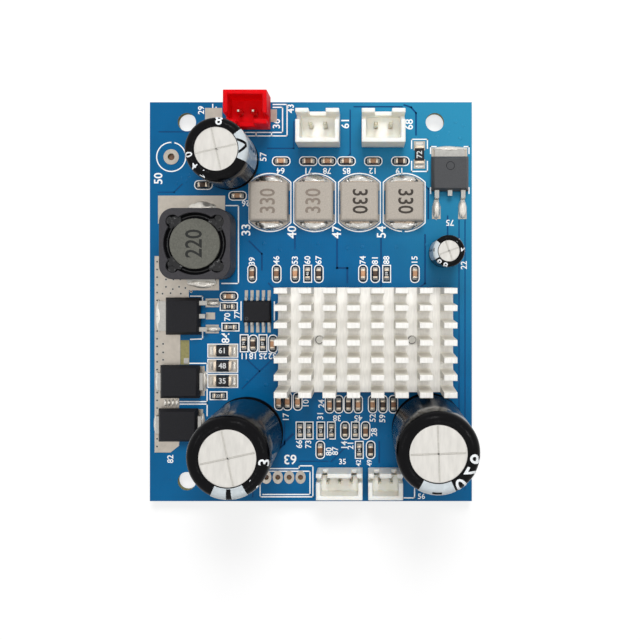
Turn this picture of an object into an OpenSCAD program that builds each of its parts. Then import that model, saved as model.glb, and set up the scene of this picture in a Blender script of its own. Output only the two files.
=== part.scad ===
// Stereo audio amplifier board with a boost supply, a pin-fin heatsink and five shrouded headers.
// Millimetres. X runs across the board, Y runs along it towards the speaker headers, Z points up.
// The origin is the centre of the four mounting holes, on the underside of the board.

/* [Board] */
// Width of the board across X
board_w = 56.5; // [56.5:0.5:70]
// Length of the board along Y
board_l = 70; // [70:0.5:90]
// Thickness of the laminate
board_t = 1.6; // [1:0.1:2.4]
// Thickness of the tinned copper on the upper face
pad_t = 0.1; // [0.05:0.05:0.2]
// Diameter of the mounting holes
mount_hole_d = 3.2; // [2.2:0.1:3.4]
// Inset of the mounting holes from the side edges
mount_inset_x = 6.5; // [5:0.25:7]
// Inset of the mounting holes from the end edges
mount_inset_y = 3.5; // [3:0.25:4]

/* [Leads and solder] */
// Length of the trimmed leads below the board
lead_stub = 1.5; // [1.4:0.1:2.5]
// Play of a lead in its drilled hole, on the diameter
drill_play = 0.2; // [0.1:0.05:0.4]
// Play between fitted pieces, on the radius
fit = 0.02; // [0.01:0.01:0.05]
// Diameter of a solder joint on the underside
solder_d = 1.7; // [1.4:0.1:1.9]
// Height of a solder joint
solder_h = 1; // [0.6:0.1:1.3]

/* [Heatsink] */
// Size of the heatsink across X
heatsink_w = 30; // [24:0.5:31]
// Size of the heatsink along Y
heatsink_l = 18; // [14:0.5:18.5]
// Overall height of the heatsink
heatsink_h = 10.5; // [8:0.1:16]
// Thickness of the heatsink base
heatsink_base = 2; // [1.5:0.1:3]
// Number of fins along Y
fin_rows = 7; // [5:1:8]
// Number of columns that the cross cuts leave
fin_columns = 8; // [6:1:9]
// Thickness of a fin at its tip
fin_tip = 0.9; // [0.7:0.05:1.1]
// Thickness of a fin above its root
fin_root = 1.3; // [1.1:0.05:1.5]
// How much deeper the sawn slots run than the extruded gaps
slot_extra = 0.5; // [0:0.05:1]
// Width of the cross cuts
slot_w = 1.8; // [1.2:0.1:2.2]
// Gap from the heatsink to the edge of the board
heatsink_edge_gap = 3.65; // [3:0.05:5]
// Diameter of the heatsink screws
screw_d = 1.6; // [1.4:0.1:2]
// Height of a screw head
screw_head_h = 1.1; // [0.8:0.1:1.3]
// Thickness of the thermal pad
thermal_pad_t = 0.5; // [0.5:0.05:1]

/* [Amplifier chip] */
// Length of the chip body across X
amp_w = 11; // [9:0.1:12]
// Width of the chip body along Y
amp_l = 6.1; // [5:0.1:7]
// Height of the chip above its pads
amp_h = 1.2; // [1:0.05:1.6]
// Leads on each side of the chip
amp_pins = 16; // [8:1:16]
// Pitch of the chip leads
amp_pitch = 0.65; // [0.5:0.05:0.65]

/* [Electrolytic capacitors] */
// Diameter of the two bulk cans
bulk_d = 12.5; // [10:0.5:12.5]
// Height of the two bulk cans
bulk_h = 25; // [16:0.5:30]
// Diameter of the supply can
supply_d = 10; // [8:0.5:10]
// Height of the supply can
supply_h = 16; // [12:0.5:25]
// Diameter of the bias can
bias_d = 5; // [4:0.5:6.3]
// Height of the bias can
bias_h = 11; // [7:0.5:12]
// Thickness of the shrink sleeve
sleeve_t = 0.12; // [0.08:0.01:0.2]
// Bare part of the can top, as a share of its diameter
bare_top = 0.7; // [0.5:0.01:0.8]
// Depth of the score lines in the can top
score_depth = 0.12; // [0.05:0.01:0.3]
// Width of the score lines
score_w = 0.3; // [0.2:0.05:0.5]
// Length of a score, as a share of the bare top
score_share = 0.96; // [0.5:0.01:0.98]
// Lead pitch of the large cans
can_lead_pitch = 5; // [3.5:0.1:5]
// Lead diameter of the large cans
can_lead_d = 0.7; // [0.6:0.05:0.8]

/* [Boost inductor] */
// Side of the square shield
boost_w = 12; // [10:0.1:12.5]
// Height of the shield above its terminals
boost_h = 7.4; // [4:0.1:10]
// Corner radius of the shield
boost_corner = 2.4; // [1.5:0.1:3]
// Diameter of the drum core flange
drum_d = 8.5; // [7:0.1:9]
// Thinnest wall of the shield
shield_wall = 0.75; // [0.5:0.05:1]

/* [Output inductors] */
// Width of a moulded body across X
choke_w = 6.6; // [5:0.1:7]
// Length of a moulded body along Y
choke_l = 6.8; // [5:0.1:7]
// Height of a moulded body
choke_h = 2.9; // [2:0.1:4]
// Gap between neighbouring moulded bodies
choke_gap = 1.25; // [0.8:0.05:2]
// Width of a terminal strap
choke_strap_w = 3.4; // [2:0.1:4]

/* [Power packages] */
// Width of a tab package across its leads
tab_body_w = 6.5; // [6:0.1:6.8]
// Length of a tab package along its leads
tab_body_l = 6.1; // [5.5:0.1:6.3]
// Height of a tab package
tab_body_h = 2.3; // [1.8:0.1:2.6]
// Length of a diode body
diode_l = 6.9; // [6:0.1:7.2]
// Width of a diode body
diode_w = 5.8; // [5:0.1:6]
// Height of a diode
diode_h = 2.3; // [1.8:0.1:2.6]

/* [Boost controller] */
// Length of the controller body
controller_w = 4.9; // [4.8:0.1:5.2]
// Width of the controller body
controller_l = 3.9; // [3.5:0.1:4]
// Height of the controller
controller_h = 1.5; // [1.2:0.1:1.8]
// Pitch of the controller leads
controller_pitch = 1; // [0.8:0.05:1]

/* [Large headers] */
// Pin pitch of the large headers
large_pitch = 2.5; // [2:0.1:2.6]
// Housing past the end pins of a large header
large_end = 2.45; // [2.2:0.05:2.6]
// Depth of a large housing
large_depth = 5.75; // [5:0.05:6]
// Height of a large housing
large_h = 7; // [6:0.1:9]
// Width of a large square pin
large_pin_w = 0.64; // [0.5:0.02:0.8]

/* [Small headers] */
// Pin pitch of the small headers
small_pitch = 2; // [1.8:0.05:2.05]
// Housing past the end pins of a small header
small_end = 1.95; // [1.8:0.05:2]
// Depth of a small housing
small_depth = 4.5; // [4:0.05:4.8]
// Height of a small housing
small_h = 6; // [5:0.1:8]
// Width of a small square pin
small_pin_w = 0.5; // [0.4:0.02:0.6]
// Wall of every housing
housing_wall = 0.75; // [0.6:0.05:0.9]
// Floor of every housing
housing_floor = 1.6; // [1:0.1:2.5]

/* [Chip parts] */
// Length of a small chip part
chip_l = 1.6; // [1.2:0.05:1.6]
// Width of a small chip part
chip_w = 0.8; // [0.5:0.05:0.8]
// Height of a ceramic chip capacitor
chip_cap_h = 0.8; // [0.5:0.05:0.9]
// Height of a chip resistor
chip_res_h = 0.5; // [0.35:0.05:0.6]
// Length of a sense resistor
sense_l = 3.2; // [3:0.1:3.4]
// Width of a sense resistor
sense_w = 1.6; // [1.2:0.1:1.7]

/* [Hidden] */
$fn = 48;
east = board_w / 2;
north = board_l / 2;
seat = board_t + pad_t;
eps = 1;

// Free places keep their share of the board, which is drawn at 56.5 by 70
drawn = [56.5, 70];
function place(x, y) = [x * board_w / drawn.x, y * board_l / drawn.y];

mount_x = east - mount_inset_x;
mount_y = north - mount_inset_y;

// Heatsink stack: pads, chip, thermal pad, heatsink
heatsink_x = east - heatsink_edge_gap - heatsink_w / 2;
heatsink_y = place(0, -6.5).y;
heatsink_south = heatsink_y - heatsink_l / 2;
heatsink_z = seat + amp_h + thermal_pad_t;
column_pitch = (heatsink_w + slot_w) / fin_columns;
row_pitch = (heatsink_l - fin_tip) / (fin_rows - 1);
screw_reach = heatsink_w / 2 - 2 * column_pitch + slot_w / 2;
screw_head_d = 2 * screw_d;

// Output inductors stand in a row
choke_pitch = (choke_w + choke_gap) * board_w / drawn.x;
function choke_at(i) = place(4.6, 17.4) + [(i - 1.5) * choke_pitch, 0];
choke_ring_r = 0.75 * choke_l;

// Capacitors: radius over the sleeve and place of each; the supply can clears the power header and a choke
can_gap = 0.3;
power_out = 0.9;
skin = fit + sleeve_t;
bulk_r = bulk_d / 2 + skin;
supply_r = supply_d / 2 + skin;
bulk_right_at = [east - 1.3 - bulk_r, heatsink_south - 0.45 - bulk_r];
supply_y = north + power_out - large_depth - can_gap - supply_r;
supply_reach = sqrt(max(1, pow(supply_r + can_gap, 2) - pow(supply_y - choke_at(0).y - choke_l / 2, 2)));
supply_at = [choke_at(0).x - choke_w / 2 - supply_reach, supply_y];
bias_at = place(23.3, 8.6);
bias_lead_pitch = 0.4 * bias_d;
bias_lead_d = 0.5;
bulk_turn = -90;
supply_turn = 0;
bias_turn = 205;

// Boost inductor, transistor and diodes stand in a column by the west edge
boost_at = place(-19.1, 9.9);
strap_t = 0.25;
boost_strap_w = 5;
boost_strap_out = 0.7;
drum_flange = 1.3;
drum_post_d = 0.5 * drum_d;
shield_bore = boost_w - 2 * shield_wall;
boost_south = boost_at.y - boost_w / 2 - boost_strap_out;
transistor_at = [place(-22.2, 0).x, boost_south - 2.45 - tab_body_w / 2];
diode_upper_at = [place(-22.7, 0).x, transistor_at.y - tab_body_w / 2 - 5.25 - diode_w / 2];
diode_lower_at = diode_upper_at - [0.3, diode_w + 1.75];
diode_strap_w = 3;
diode_strap_out = 0.5;
sense_places = [for (i = [0:2]) [place(-15.45, 0).x, transistor_at.y - 6.1 - 2.65 * i]];
bulk_left_at = [place(-11.2, 0).x, sense_places[2].y - 2.75 - bulk_r];

// Regulator on the east side
regulator_at = place(24.3, 22.3);
tab_w = 5.2;
tab_t = 0.5;
tab_out = 1.4;
lead_w = 0.76;
lead_gap = 2.29;
regulator_reach = 4.35;
transistor_reach = 2.6;

controller_at = place(-9.3, -1.7);
controller_pins = 5;

// Headers
large_w = large_pitch + 2 * large_end;
function small_w(n) = (n - 1) * small_pitch + 2 * small_end;
power_at = [place(-10.75, 0).x, north + power_out - large_depth / 2];
speaker_left_at = [place(1.43, 0).x, north - 2.2 - large_depth / 2];
speaker_right_at = [place(12.64, 0).x, north - 2.2 - large_depth / 2];
small_y = 1.45 - north + small_depth / 2;
small_north = small_y + small_depth / 2;
mute_reach = sqrt(max(1, pow(bulk_r + can_gap, 2) - pow(bulk_right_at.y - small_north, 2)));
mute_at = [min(place(13, 0).x, bulk_right_at.x - mute_reach - small_w(2) / 2), small_y];
signal_at = mute_at - [small_w(2) / 2 + 0.97 + small_w(3) / 2, 0];
pin_shift = 0.5;
spare_at = signal_at + [-small_w(3) / 2 - 2.98 - 1.5 * small_pitch, pin_shift];
test_point_at = [3.75 - east, north - 9.6];

// Drilled holes that hold leads: [place, diameter of the lead]
function pair(c, pitch, turn) = [for (s = [-1, 1]) c + s * pitch / 2 * [cos(turn), sin(turn)]];
function row(c, n, pitch) = [for (i = [0:n - 1]) c + [(i - (n - 1) / 2) * pitch, 0]];
bulk_left_leads = pair(bulk_left_at, can_lead_pitch, bulk_turn);
bulk_right_leads = pair(bulk_right_at, can_lead_pitch, bulk_turn);
supply_leads = pair(supply_at, can_lead_pitch, supply_turn);
bias_leads = pair(bias_at, bias_lead_pitch, bias_turn);
power_pins = row(power_at - [0, pin_shift], 2, large_pitch);
speaker_left_pins = row(speaker_left_at + [0, pin_shift], 2, large_pitch);
speaker_right_pins = row(speaker_right_at + [0, pin_shift], 2, large_pitch);
signal_pins = row(signal_at + [0, pin_shift], 3, small_pitch);
mute_pins = row(mute_at + [0, pin_shift], 2, small_pitch);
can_leads = concat(bulk_left_leads, bulk_right_leads, supply_leads);
large_pins = concat(power_pins, speaker_left_pins, speaker_right_pins);
small_pins = concat(signal_pins, mute_pins);
spare_pins = row(spare_at, 4, small_pitch);
screw_places = [for (s = [-1, 1]) [heatsink_x + s * screw_reach, heatsink_y]];

// Small chip parts: rows of places, flat (along X) or upright (along Y)
filter_row_y = speaker_left_at.y - large_depth / 2 - 2.4;
logic_row_y = heatsink_y + heatsink_l / 2 + 2.4;
south_row_y = heatsink_south - 2.3;
upper_row_y = small_north + 6.45;
lower_row_y = small_north + 3.05;
function along(xs, y) = [for (x = xs) [place(x, 0).x, y]];
flat_caps = concat(
    along([-5.2, -0.45, 2.9, 6.25, 10.95, 15.7], filter_row_y),
    [supply_at - [4.6, 4.24]],
    along([-12.85], supply_at.y - supply_r - 1),
    along([-14.35], transistor_at.y + 3.45));
upright_caps = concat(
    along([-10.3, -6, -2.75, 1.4, 9.15, 11.3, 18.25], logic_row_y),
    along([-10.1, -6.65], controller_at.y - 5.7),
    along([-5.6, -4.1, -2.3], south_row_y + 0.3),
    along([3.3, 4.9, 6.6, 8.3, 10.85, 12.65], south_row_y - 0.2),
    [[bulk_right_at.x - bulk_r + 0.3, south_row_y - 0.2]],
    along([6, 9.6], upper_row_y),
    along([1.65, 10.5], lower_row_y));
flat_resistors = concat(
    along([-14.4], transistor_at.y + 1.65),
    along([-14.1], transistor_at.y - 1.95),
    along([-16.2], sense_places[2].y - 2.6));
upright_resistors = concat(
    along([-0.55, 13.3], logic_row_y),
    along([-11.7, -8.4], controller_at.y - 5.6),
    along([-1.9, -0.3, 1.75, 3.6, 7.8], upper_row_y),
    along([8.5], lower_row_y));
feed_resistor_at = [place(19.05, 0).x, regulator_at.y + 3.45];
chip_band = 0.22 * chip_l;
sense_band = 0.16 * sense_l;

// Helpers

module put(p, z = 0, turn = 0) {
    translate([p.x, p.y, z]) rotate(turn) children();
}

function pin_drill(w) = w * sqrt(2) + drill_play;

module drills(h) {
    for (p = can_leads) put(p, -eps) cylinder(d = can_lead_d + drill_play, h = h + 2 * eps);
    for (p = bias_leads) put(p, -eps) cylinder(d = bias_lead_d + drill_play, h = h + 2 * eps);
    for (p = large_pins) put(p, -eps) cylinder(d = pin_drill(large_pin_w), h = h + 2 * eps);
    for (p = concat(small_pins, spare_pins)) put(p, -eps) cylinder(d = pin_drill(small_pin_w), h = h + 2 * eps);
    put(test_point_at, -eps) cylinder(d = 1.2, h = h + 2 * eps);
}

// Moulded body with draft above and below its parting line
module moulded(size, draft, part) {
    intersection() {
        rotate([90, 0, 0]) linear_extrude(size.y + eps, center = true) moulded_side(size.x, size.z, draft, part);
        rotate([90, 0, 90]) linear_extrude(size.x + eps, center = true) moulded_side(size.y, size.z, draft, part);
    }
}

module moulded_side(w, h, draft, part) {
    polygon([[-w / 2 + draft / 2, 0], [w / 2 - draft / 2, 0], [w / 2, part],
        [w / 2 - draft, h], [-w / 2 + draft, h], [-w / 2, part]]);
}

// Square post with a tapered point
module post(w, z0, z1) {
    side = [[-w / 2, z0], [w / 2, z0], [w / 2, z1 - w], [w / 4, z1], [-w / 4, z1], [-w / 2, z1 - w]];
    intersection() {
        rotate([90, 0, 0]) linear_extrude(w, center = true) polygon(side);
        rotate([90, 0, 90]) linear_extrude(w, center = true) polygon(side);
    }
}

// Bent lead in the YZ plane: runs from y0 at height z down to a foot that ends at y1
module gull(w, t, y0, y1, z, knee) {
    rotate([90, 0, 90]) linear_extrude(w, center = true)
        polygon([[y0, z], [knee, z], [knee + t * 0.6, t], [knee + t * 0.6, 0], [y1, 0],
            [y1, t], [knee + 1.9 * t, t], [knee + 1.3 * t, z + t], [y0, z + t]]);
}

// Folded strap in the YZ plane: enters at height z, runs down the end face and back under the body
module strap(w, y_in, y_out, y_under, z) {
    rotate([90, 0, 90]) linear_extrude(w, center = true)
        polygon([[y_in, z], [y_in, z + strap_t], [y_out, z + strap_t], [y_out, 0], [y_under, 0],
            [y_under, strap_t], [y_out - strap_t, strap_t], [y_out - strap_t, z]]);
}

// Rounded square outline
module rounded(w, r) {
    square([w - 2 * r, w], center = true);
    square([w, w - 2 * r], center = true);
    for (x = [-1, 1], y = [-1, 1]) translate([x, y] * (w / 2 - r)) circle(r);
}

// Board

module circuit_board() {
    color("#1d66a6")
    difference() {
        translate([-east, -north, 0]) cube([board_w, board_l, board_t]);
        for (x = [-1, 1], y = [-1, 1]) put([x * mount_x, y * mount_y], -eps)
            cylinder(d = mount_hole_d, h = board_t + 2 * eps);
        for (p = screw_places) put(p, -eps) cylinder(d = screw_d + drill_play, h = board_t + 2 * eps);
        drills(board_t);
    }
}

// Pads and bare tinned areas
module pad(p, w, l) {
    translate([p.x - w / 2, p.y - l / 2, board_t]) cube([w, l, pad_t]);
}

module ring(p, d, hole) {
    put(p, board_t) difference() {
        cylinder(d = d, h = pad_t);
        translate([0, 0, -eps]) cylinder(d = hole, h = pad_t + 2 * eps);
    }
}

module tinned_area() {
    // Area under the north terminal of the boost inductor
    translate([1.45 - east, boost_at.y + boost_w / 2 - 2.2, board_t]) cube([11.75, 4.9, pad_t]);
    // Area under the south terminal, along the west edge and under the transistor and the diodes
    transistor_north = transistor_at.y + tab_body_w / 2;
    transistor_south = transistor_at.y - tab_body_w / 2;
    low = diode_lower_at.y - diode_w / 2;
    west = 0.85 - east;
    translate([0, 0, board_t]) linear_extrude(pad_t)
        polygon([[west, boost_at.y - 1.9], [west + 2.6, boost_at.y - 1.9], [west + 2.6, boost_south + 1.9],
            [boost_at.x + 3, boost_south + 1.9], [boost_at.x + 3, boost_south - 1.2],
            [west + 6, boost_south - 1.2], [west + 6, transistor_north - 1], [west + 4.5, transistor_north - 1],
            [west + 4.5, transistor_south - 5.3], [west + 4.3, transistor_south - 5.3],
            [west + 4.3, low - 0.9], [west + 2.8, low - 2.1], [west, low - 2.1]]);
}

module tinned_copper() {
    color("#d8dadb") {
        tinned_area();
        // Choke pads: round-ended, north and south of each body
        for (i = [0:3]) put(choke_at(i), board_t) intersection() {
            cylinder(r = choke_ring_r - 0.25, h = pad_t);
            union() for (s = [-1, 1]) translate([-choke_w / 2 - 0.2, s > 0 ? 2.1 : -choke_ring_r, 0])
                cube([choke_w + 0.4, choke_ring_r - 2.1, pad_t]);
        }
        // Tab packages and diodes
        pad(regulator_at + [0, 1.6], 6.3, 6.2);
        for (s = [-1, 1]) pad(regulator_at + [s * lead_gap, -tab_body_l / 2 - regulator_reach + 0.75], 1.5, 2.3);
        for (s = [-1, 1]) pad(transistor_at + [tab_body_l / 2 + transistor_reach - 0.75, s * lead_gap], 2.3, 1.5);
        pad(transistor_at + [tab_body_l / 2 + 1.55, 0], 1.6, 1.2);
        for (p = [diode_upper_at, diode_lower_at]) pad(p + [diode_l / 2 - 0.35, 0], 2, 5.2);
        // Controller and amplifier
        for (p = row(controller_at, controller_pins, controller_pitch), s = [-1, 1])
            pad(p + [0, s * (controller_l / 2 + 0.9)], 0.55 * controller_pitch, 1.7);
        for (p = row([heatsink_x, heatsink_y], amp_pins, amp_pitch), s = [-1, 1])
            pad(p + [0, s * (amp_l / 2 + 0.75)], 0.55 * amp_pitch, 1.2);
        // Chip parts
        for (p = concat(flat_caps, flat_resistors), s = [-1, 1])
            pad(p + [s * 0.45 * chip_l, 0], 0.42 * chip_l, chip_w);
        for (p = concat(upright_caps, upright_resistors), s = [-1, 1])
            pad(p + [0, s * 0.45 * chip_l], chip_w, 0.42 * chip_l);
        for (p = sense_places, s = [-1, 1]) pad(p + [s * 0.56 * sense_l, 0], 0.42 * sense_l, sense_w + 0.6);
        for (s = [-1, 1]) pad(feed_resistor_at + [0, s * sense_l / 2], sense_w + 0.4, 0.5 * sense_l);
        // Spare header, test point and spare supply pads
        for (p = spare_pins) ring(p, 1.6, pin_drill(small_pin_w));
        ring(test_point_at, 2.7, 1.2);
        pad([power_at.x - large_w / 2 - 2.6, power_at.y - 0.2], 3, 2.3);
        pad([power_at.x + large_w / 2 + 0.4, power_at.y - 0.4], 1.4, 2.2);
        // Rings that the large and small headers and the cans stand on
        for (p = large_pins) ring(p, 1.8, pin_drill(large_pin_w));
        for (p = small_pins) ring(p, 1.5, pin_drill(small_pin_w));
        for (p = can_leads) ring(p, 1.8, can_lead_d + drill_play);
        for (p = bias_leads) ring(p, 1.4, bias_lead_d + drill_play);
    }
}

// Heatsink stack

module fin_gap() {
    low = row_pitch - fin_root;
    high = row_pitch - fin_tip;
    translate([0, heatsink_base + low / 2]) circle(d = low);
    polygon([[-low / 2, heatsink_base + low / 2], [low / 2, heatsink_base + low / 2],
        [high / 2, heatsink_h + eps], [-high / 2, heatsink_h + eps]]);
}

module heatsink() {
    color("#dcdcd8")
    translate([heatsink_x, heatsink_y, heatsink_z])
    difference() {
        rotate([90, 0, 90]) linear_extrude(heatsink_w, center = true) difference() {
            translate([-heatsink_l / 2, 0]) square([heatsink_l, heatsink_h]);
            for (i = [0:fin_rows - 2]) translate([(i - (fin_rows - 2) / 2) * row_pitch, 0]) fin_gap();
        }
        for (i = [1:fin_columns - 1])
            translate([i * column_pitch - slot_w - heatsink_w / 2, -heatsink_l / 2 - eps, heatsink_base - slot_extra])
                cube([slot_w, heatsink_l + 2 * eps, heatsink_h]);
        for (s = [-1, 1]) translate([s * screw_reach, 0, -eps]) cylinder(d = screw_d + 2 * fit, h = heatsink_base + 2 * eps);
    }
}

module heatsink_screws() {
    color("#b9bcc0")
    for (p = screw_places) put(p) difference() {
        union() {
            cylinder(d = screw_d, h = heatsink_z + heatsink_base - 0.3);
            translate([0, 0, -screw_head_h]) cylinder(d = screw_head_d, h = screw_head_h);
        }
        // Cross recess
        for (turn = [0, 90]) rotate(turn) translate([-screw_d / 2, -0.2, -screw_head_h - eps])
            cube([screw_d, 0.4, eps + screw_head_h / 2]);
    }
}

module thermal_pad() {
    color("#8f9399")
    translate([heatsink_x - 0.45 * amp_w, heatsink_y - 0.42 * amp_l, seat + amp_h])
        cube([0.9 * amp_w, 0.84 * amp_l, thermal_pad_t]);
}

module amplifier_chip_leads() {
    color("#c9cccf")
    for (p = row([heatsink_x, heatsink_y], amp_pins, amp_pitch), turn = [0, 180]) put(p, seat, turn)
        gull(0.36 * amp_pitch, 0.15, amp_l / 2 - 0.4, amp_l / 2 + 1.05, 0.45 * amp_h, amp_l / 2 + 0.25);
}

module amplifier_chip() {
    color("#232427")
    difference() {
        put([heatsink_x, heatsink_y], seat + 0.1) moulded([amp_w, amp_l, amp_h - 0.1], 0.2, 0.45 * amp_h);
        amplifier_chip_leads();
    }
}

// Radial capacitors: a can with a crimp near its foot, a shrink sleeve, a rubber bung and two leads

function crimp_z(d) = 0.22 * d;
function shoulder(d) = 0.08 * d;
function bung_r(d) = 0.42 * d;
function bung_t(d) = 0.14 * d;

function can_side(d, h, off) = concat(
    [[d / 2 + off, 0]],
    [for (a = [-90:30:90]) [d / 2 + off - 0.045 * d * cos(a), crimp_z(d) + 0.06 * d * sin(a)]],
    [for (a = [0:30:90]) [d / 2 - shoulder(d) + (shoulder(d) + off) * cos(a),
        h - shoulder(d) + (shoulder(d) + off) * sin(a)]]);

function reversed(list) = [for (i = [len(list) - 1:-1:0]) list[i]];

module capacitor_can(d, h, score_turn, scores) {
    score_l = score_share * bare_top * d;
    color("#c4c7c9")
    difference() {
        rotate_extrude() polygon(concat([[0, bung_t(d)], [bung_r(d), bung_t(d)], [bung_r(d), 0]],
            can_side(d, h, 0), [[0, h]]));
        for (i = [0:scores - 1]) rotate(score_turn + i * 180 / scores)
            translate([-score_l / 2, -score_w / 2, h - score_depth]) cube([score_l, score_w, score_depth + eps]);
    }
}

module capacitor_sleeve(d, h) {
    color("#17181b")
    rotate_extrude() polygon(concat(
        can_side(d, h, skin), [[bare_top * d / 2, h + skin], [bare_top * d / 2, h + fit]],
        reversed(can_side(d, h, fit))));
}

module capacitor_bung(d, pitch, lead) {
    color("#2a2522")
    difference() {
        cylinder(r = bung_r(d) - fit, h = bung_t(d));
        for (s = [-1, 1]) translate([s * pitch / 2, 0, -eps]) cylinder(d = lead + 2 * fit, h = bung_t(d) + 2 * eps);
    }
}

module capacitor_leads(d, pitch, lead) {
    color("#cfd2d4")
    for (s = [-1, 1]) translate([s * pitch / 2, 0, -seat - lead_stub])
        cylinder(d = lead, h = seat + lead_stub + bung_t(d));
}

module bulk_capacitor_left_can() { put(bulk_left_at, seat, 12) capacitor_can(bulk_d, bulk_h, 0, 2); }
module bulk_capacitor_right_can() { put(bulk_right_at, seat) capacitor_can(bulk_d, bulk_h, 2, 2); }
module supply_capacitor_can() { put(supply_at, seat) capacitor_can(supply_d, supply_h, 13, 2); }
module bias_capacitor_can() { put(bias_at, seat) capacitor_can(bias_d, bias_h, 20, 2); }
module bulk_capacitor_left_sleeve() { put(bulk_left_at, seat) capacitor_sleeve(bulk_d, bulk_h); }
module bulk_capacitor_right_sleeve() { put(bulk_right_at, seat) capacitor_sleeve(bulk_d, bulk_h); }
module supply_capacitor_sleeve() { put(supply_at, seat) capacitor_sleeve(supply_d, supply_h); }
module bias_capacitor_sleeve() { put(bias_at, seat) capacitor_sleeve(bias_d, bias_h); }
module bulk_capacitor_left_bung() { put(bulk_left_at, seat, bulk_turn) capacitor_bung(bulk_d, can_lead_pitch, can_lead_d); }
module bulk_capacitor_right_bung() { put(bulk_right_at, seat, bulk_turn) capacitor_bung(bulk_d, can_lead_pitch, can_lead_d); }
module supply_capacitor_bung() { put(supply_at, seat, supply_turn) capacitor_bung(supply_d, can_lead_pitch, can_lead_d); }
module bias_capacitor_bung() { put(bias_at, seat, bias_turn) capacitor_bung(bias_d, bias_lead_pitch, bias_lead_d); }
module bulk_capacitor_left_leads() { put(bulk_left_at, seat, bulk_turn) capacitor_leads(bulk_d, can_lead_pitch, can_lead_d); }
module bulk_capacitor_right_leads() { put(bulk_right_at, seat, bulk_turn) capacitor_leads(bulk_d, can_lead_pitch, can_lead_d); }
module supply_capacitor_leads() { put(supply_at, seat, supply_turn) capacitor_leads(supply_d, can_lead_pitch, can_lead_d); }
module bias_capacitor_leads() { put(bias_at, seat, bias_turn) capacitor_leads(bias_d, bias_lead_pitch, bias_lead_d); }

// Boost inductor: a wound drum core inside a square shield, on two terminal straps

module boost_inductor_core() {
    color("#55564f")
    put(boost_at, seat + strap_t) {
        cylinder(d = drum_d, h = drum_flange);
        cylinder(d = drum_post_d, h = boost_h);
        translate([0, 0, boost_h - drum_flange]) cylinder(d = drum_d, h = drum_flange);
    }
}

module boost_inductor_winding() {
    color("#b5713a")
    put(boost_at, seat + strap_t + drum_flange) difference() {
        cylinder(d = 0.92 * drum_d, h = boost_h - 2 * drum_flange);
        translate([0, 0, -eps]) cylinder(d = drum_post_d + 2 * fit, h = boost_h);
    }
}

module boost_inductor_shield() {
    color("#33353a")
    put(boost_at, seat + strap_t) linear_extrude(boost_h) difference() {
        rounded(boost_w, boost_corner);
        circle(d = shield_bore);
        for (turn = [45:90:315]) rotate(turn) translate([shield_bore / 2, 0]) circle(d = 0.19 * boost_w);
    }
}

module boost_inductor_terminals() {
    color("#cfd2d4")
    for (turn = [0, 180]) put(boost_at, seat, turn) rotate([90, 0, 90]) linear_extrude(boost_strap_w, center = true)
        polygon([[0.3 * boost_w / 2, 0], [boost_w / 2 + boost_strap_out, 0],
            [boost_w / 2 + boost_strap_out, strap_t], [boost_w / 2 + strap_t, strap_t], [boost_w / 2 + strap_t, 1.4],
            [boost_w / 2, 1.4], [boost_w / 2, strap_t], [0.3 * boost_w / 2, strap_t]]);
}

// Output inductors: moulded bodies with folded end straps

module output_inductor_terminals(i) {
    color("#c9b9a2")
    for (turn = [0, 180]) put(choke_at(i), seat, turn)
        strap(choke_strap_w, choke_l / 2 - 0.5, choke_l / 2 + strap_t, choke_l / 2 - 1.6, 1.1);
}

module output_inductor(i) {
    color("#8c8478")
    difference() {
        put(choke_at(i), seat + strap_t) intersection() {
            translate([-choke_w / 2, -choke_l / 2, 0]) cube([choke_w, choke_l, choke_h]);
            rotate([90, 0, 0]) linear_extrude(choke_l + eps, center = true) bevelled(choke_w, choke_h);
            rotate([90, 0, 90]) linear_extrude(choke_w + eps, center = true) bevelled(choke_l, choke_h);
        }
        output_inductor_terminals(i);
    }
}

// Side of a block with bevelled upper edges
module bevelled(w, h) {
    b = 0.12 * h;
    polygon([[-w / 2, 0], [w / 2, 0], [w / 2, h - b], [w / 2 - b, h], [b - w / 2, h], [-w / 2, h - b]]);
}

// Tab packages: two bent leads, a cut middle lead and a solder tab

module tab_leadframe(p, turn, reach) {
    color("#cdd0d2")
    put(p, seat, turn) {
        translate([-tab_w / 2, -0.3 * tab_body_l, 0]) cube([tab_w, 0.8 * tab_body_l + tab_out, tab_t]);
        rotate(180) for (s = [-1, 1]) translate([s * lead_gap, 0, 0])
            gull(lead_w, tab_t, tab_body_l / 2 - 0.8, tab_body_l / 2 + reach, 0.42 * tab_body_h, tab_body_l / 2 + 0.5);
        translate([-lead_w / 2, -tab_body_l / 2 - 0.8, 0.42 * tab_body_h]) cube([lead_w, 1.6, tab_t]);
    }
}

module tab_body(p, turn, reach, shade) {
    color(shade)
    difference() {
        put(p, seat, turn) moulded([tab_body_w, tab_body_l, tab_body_h], 0.5, 0.42 * tab_body_h);
        tab_leadframe(p, turn, reach);
    }
}

module regulator_body() { tab_body(regulator_at, 0, regulator_reach, "#5a5a5e"); }
module regulator_leadframe() { tab_leadframe(regulator_at, 0, regulator_reach); }
module switch_transistor_body() { tab_body(transistor_at, 90, transistor_reach, "#222326"); }
module switch_transistor_leadframe() { tab_leadframe(transistor_at, 90, transistor_reach); }

// Rectifier diodes: moulded bodies with folded end straps

module diode_terminals(p) {
    color("#cfd2d4")
    for (turn = [90, -90]) put(p, seat, turn)
        strap(diode_strap_w, diode_l / 2 - 0.7, diode_l / 2 + diode_strap_out, diode_l / 2 - 1.2, 0.45 * diode_h);
}

module diode_body(p) {
    color("#1d1e21")
    difference() {
        put(p, seat + strap_t) moulded([diode_l, diode_w, diode_h - strap_t], 0.5, 0.4 * diode_h);
        diode_terminals(p);
    }
}

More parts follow.
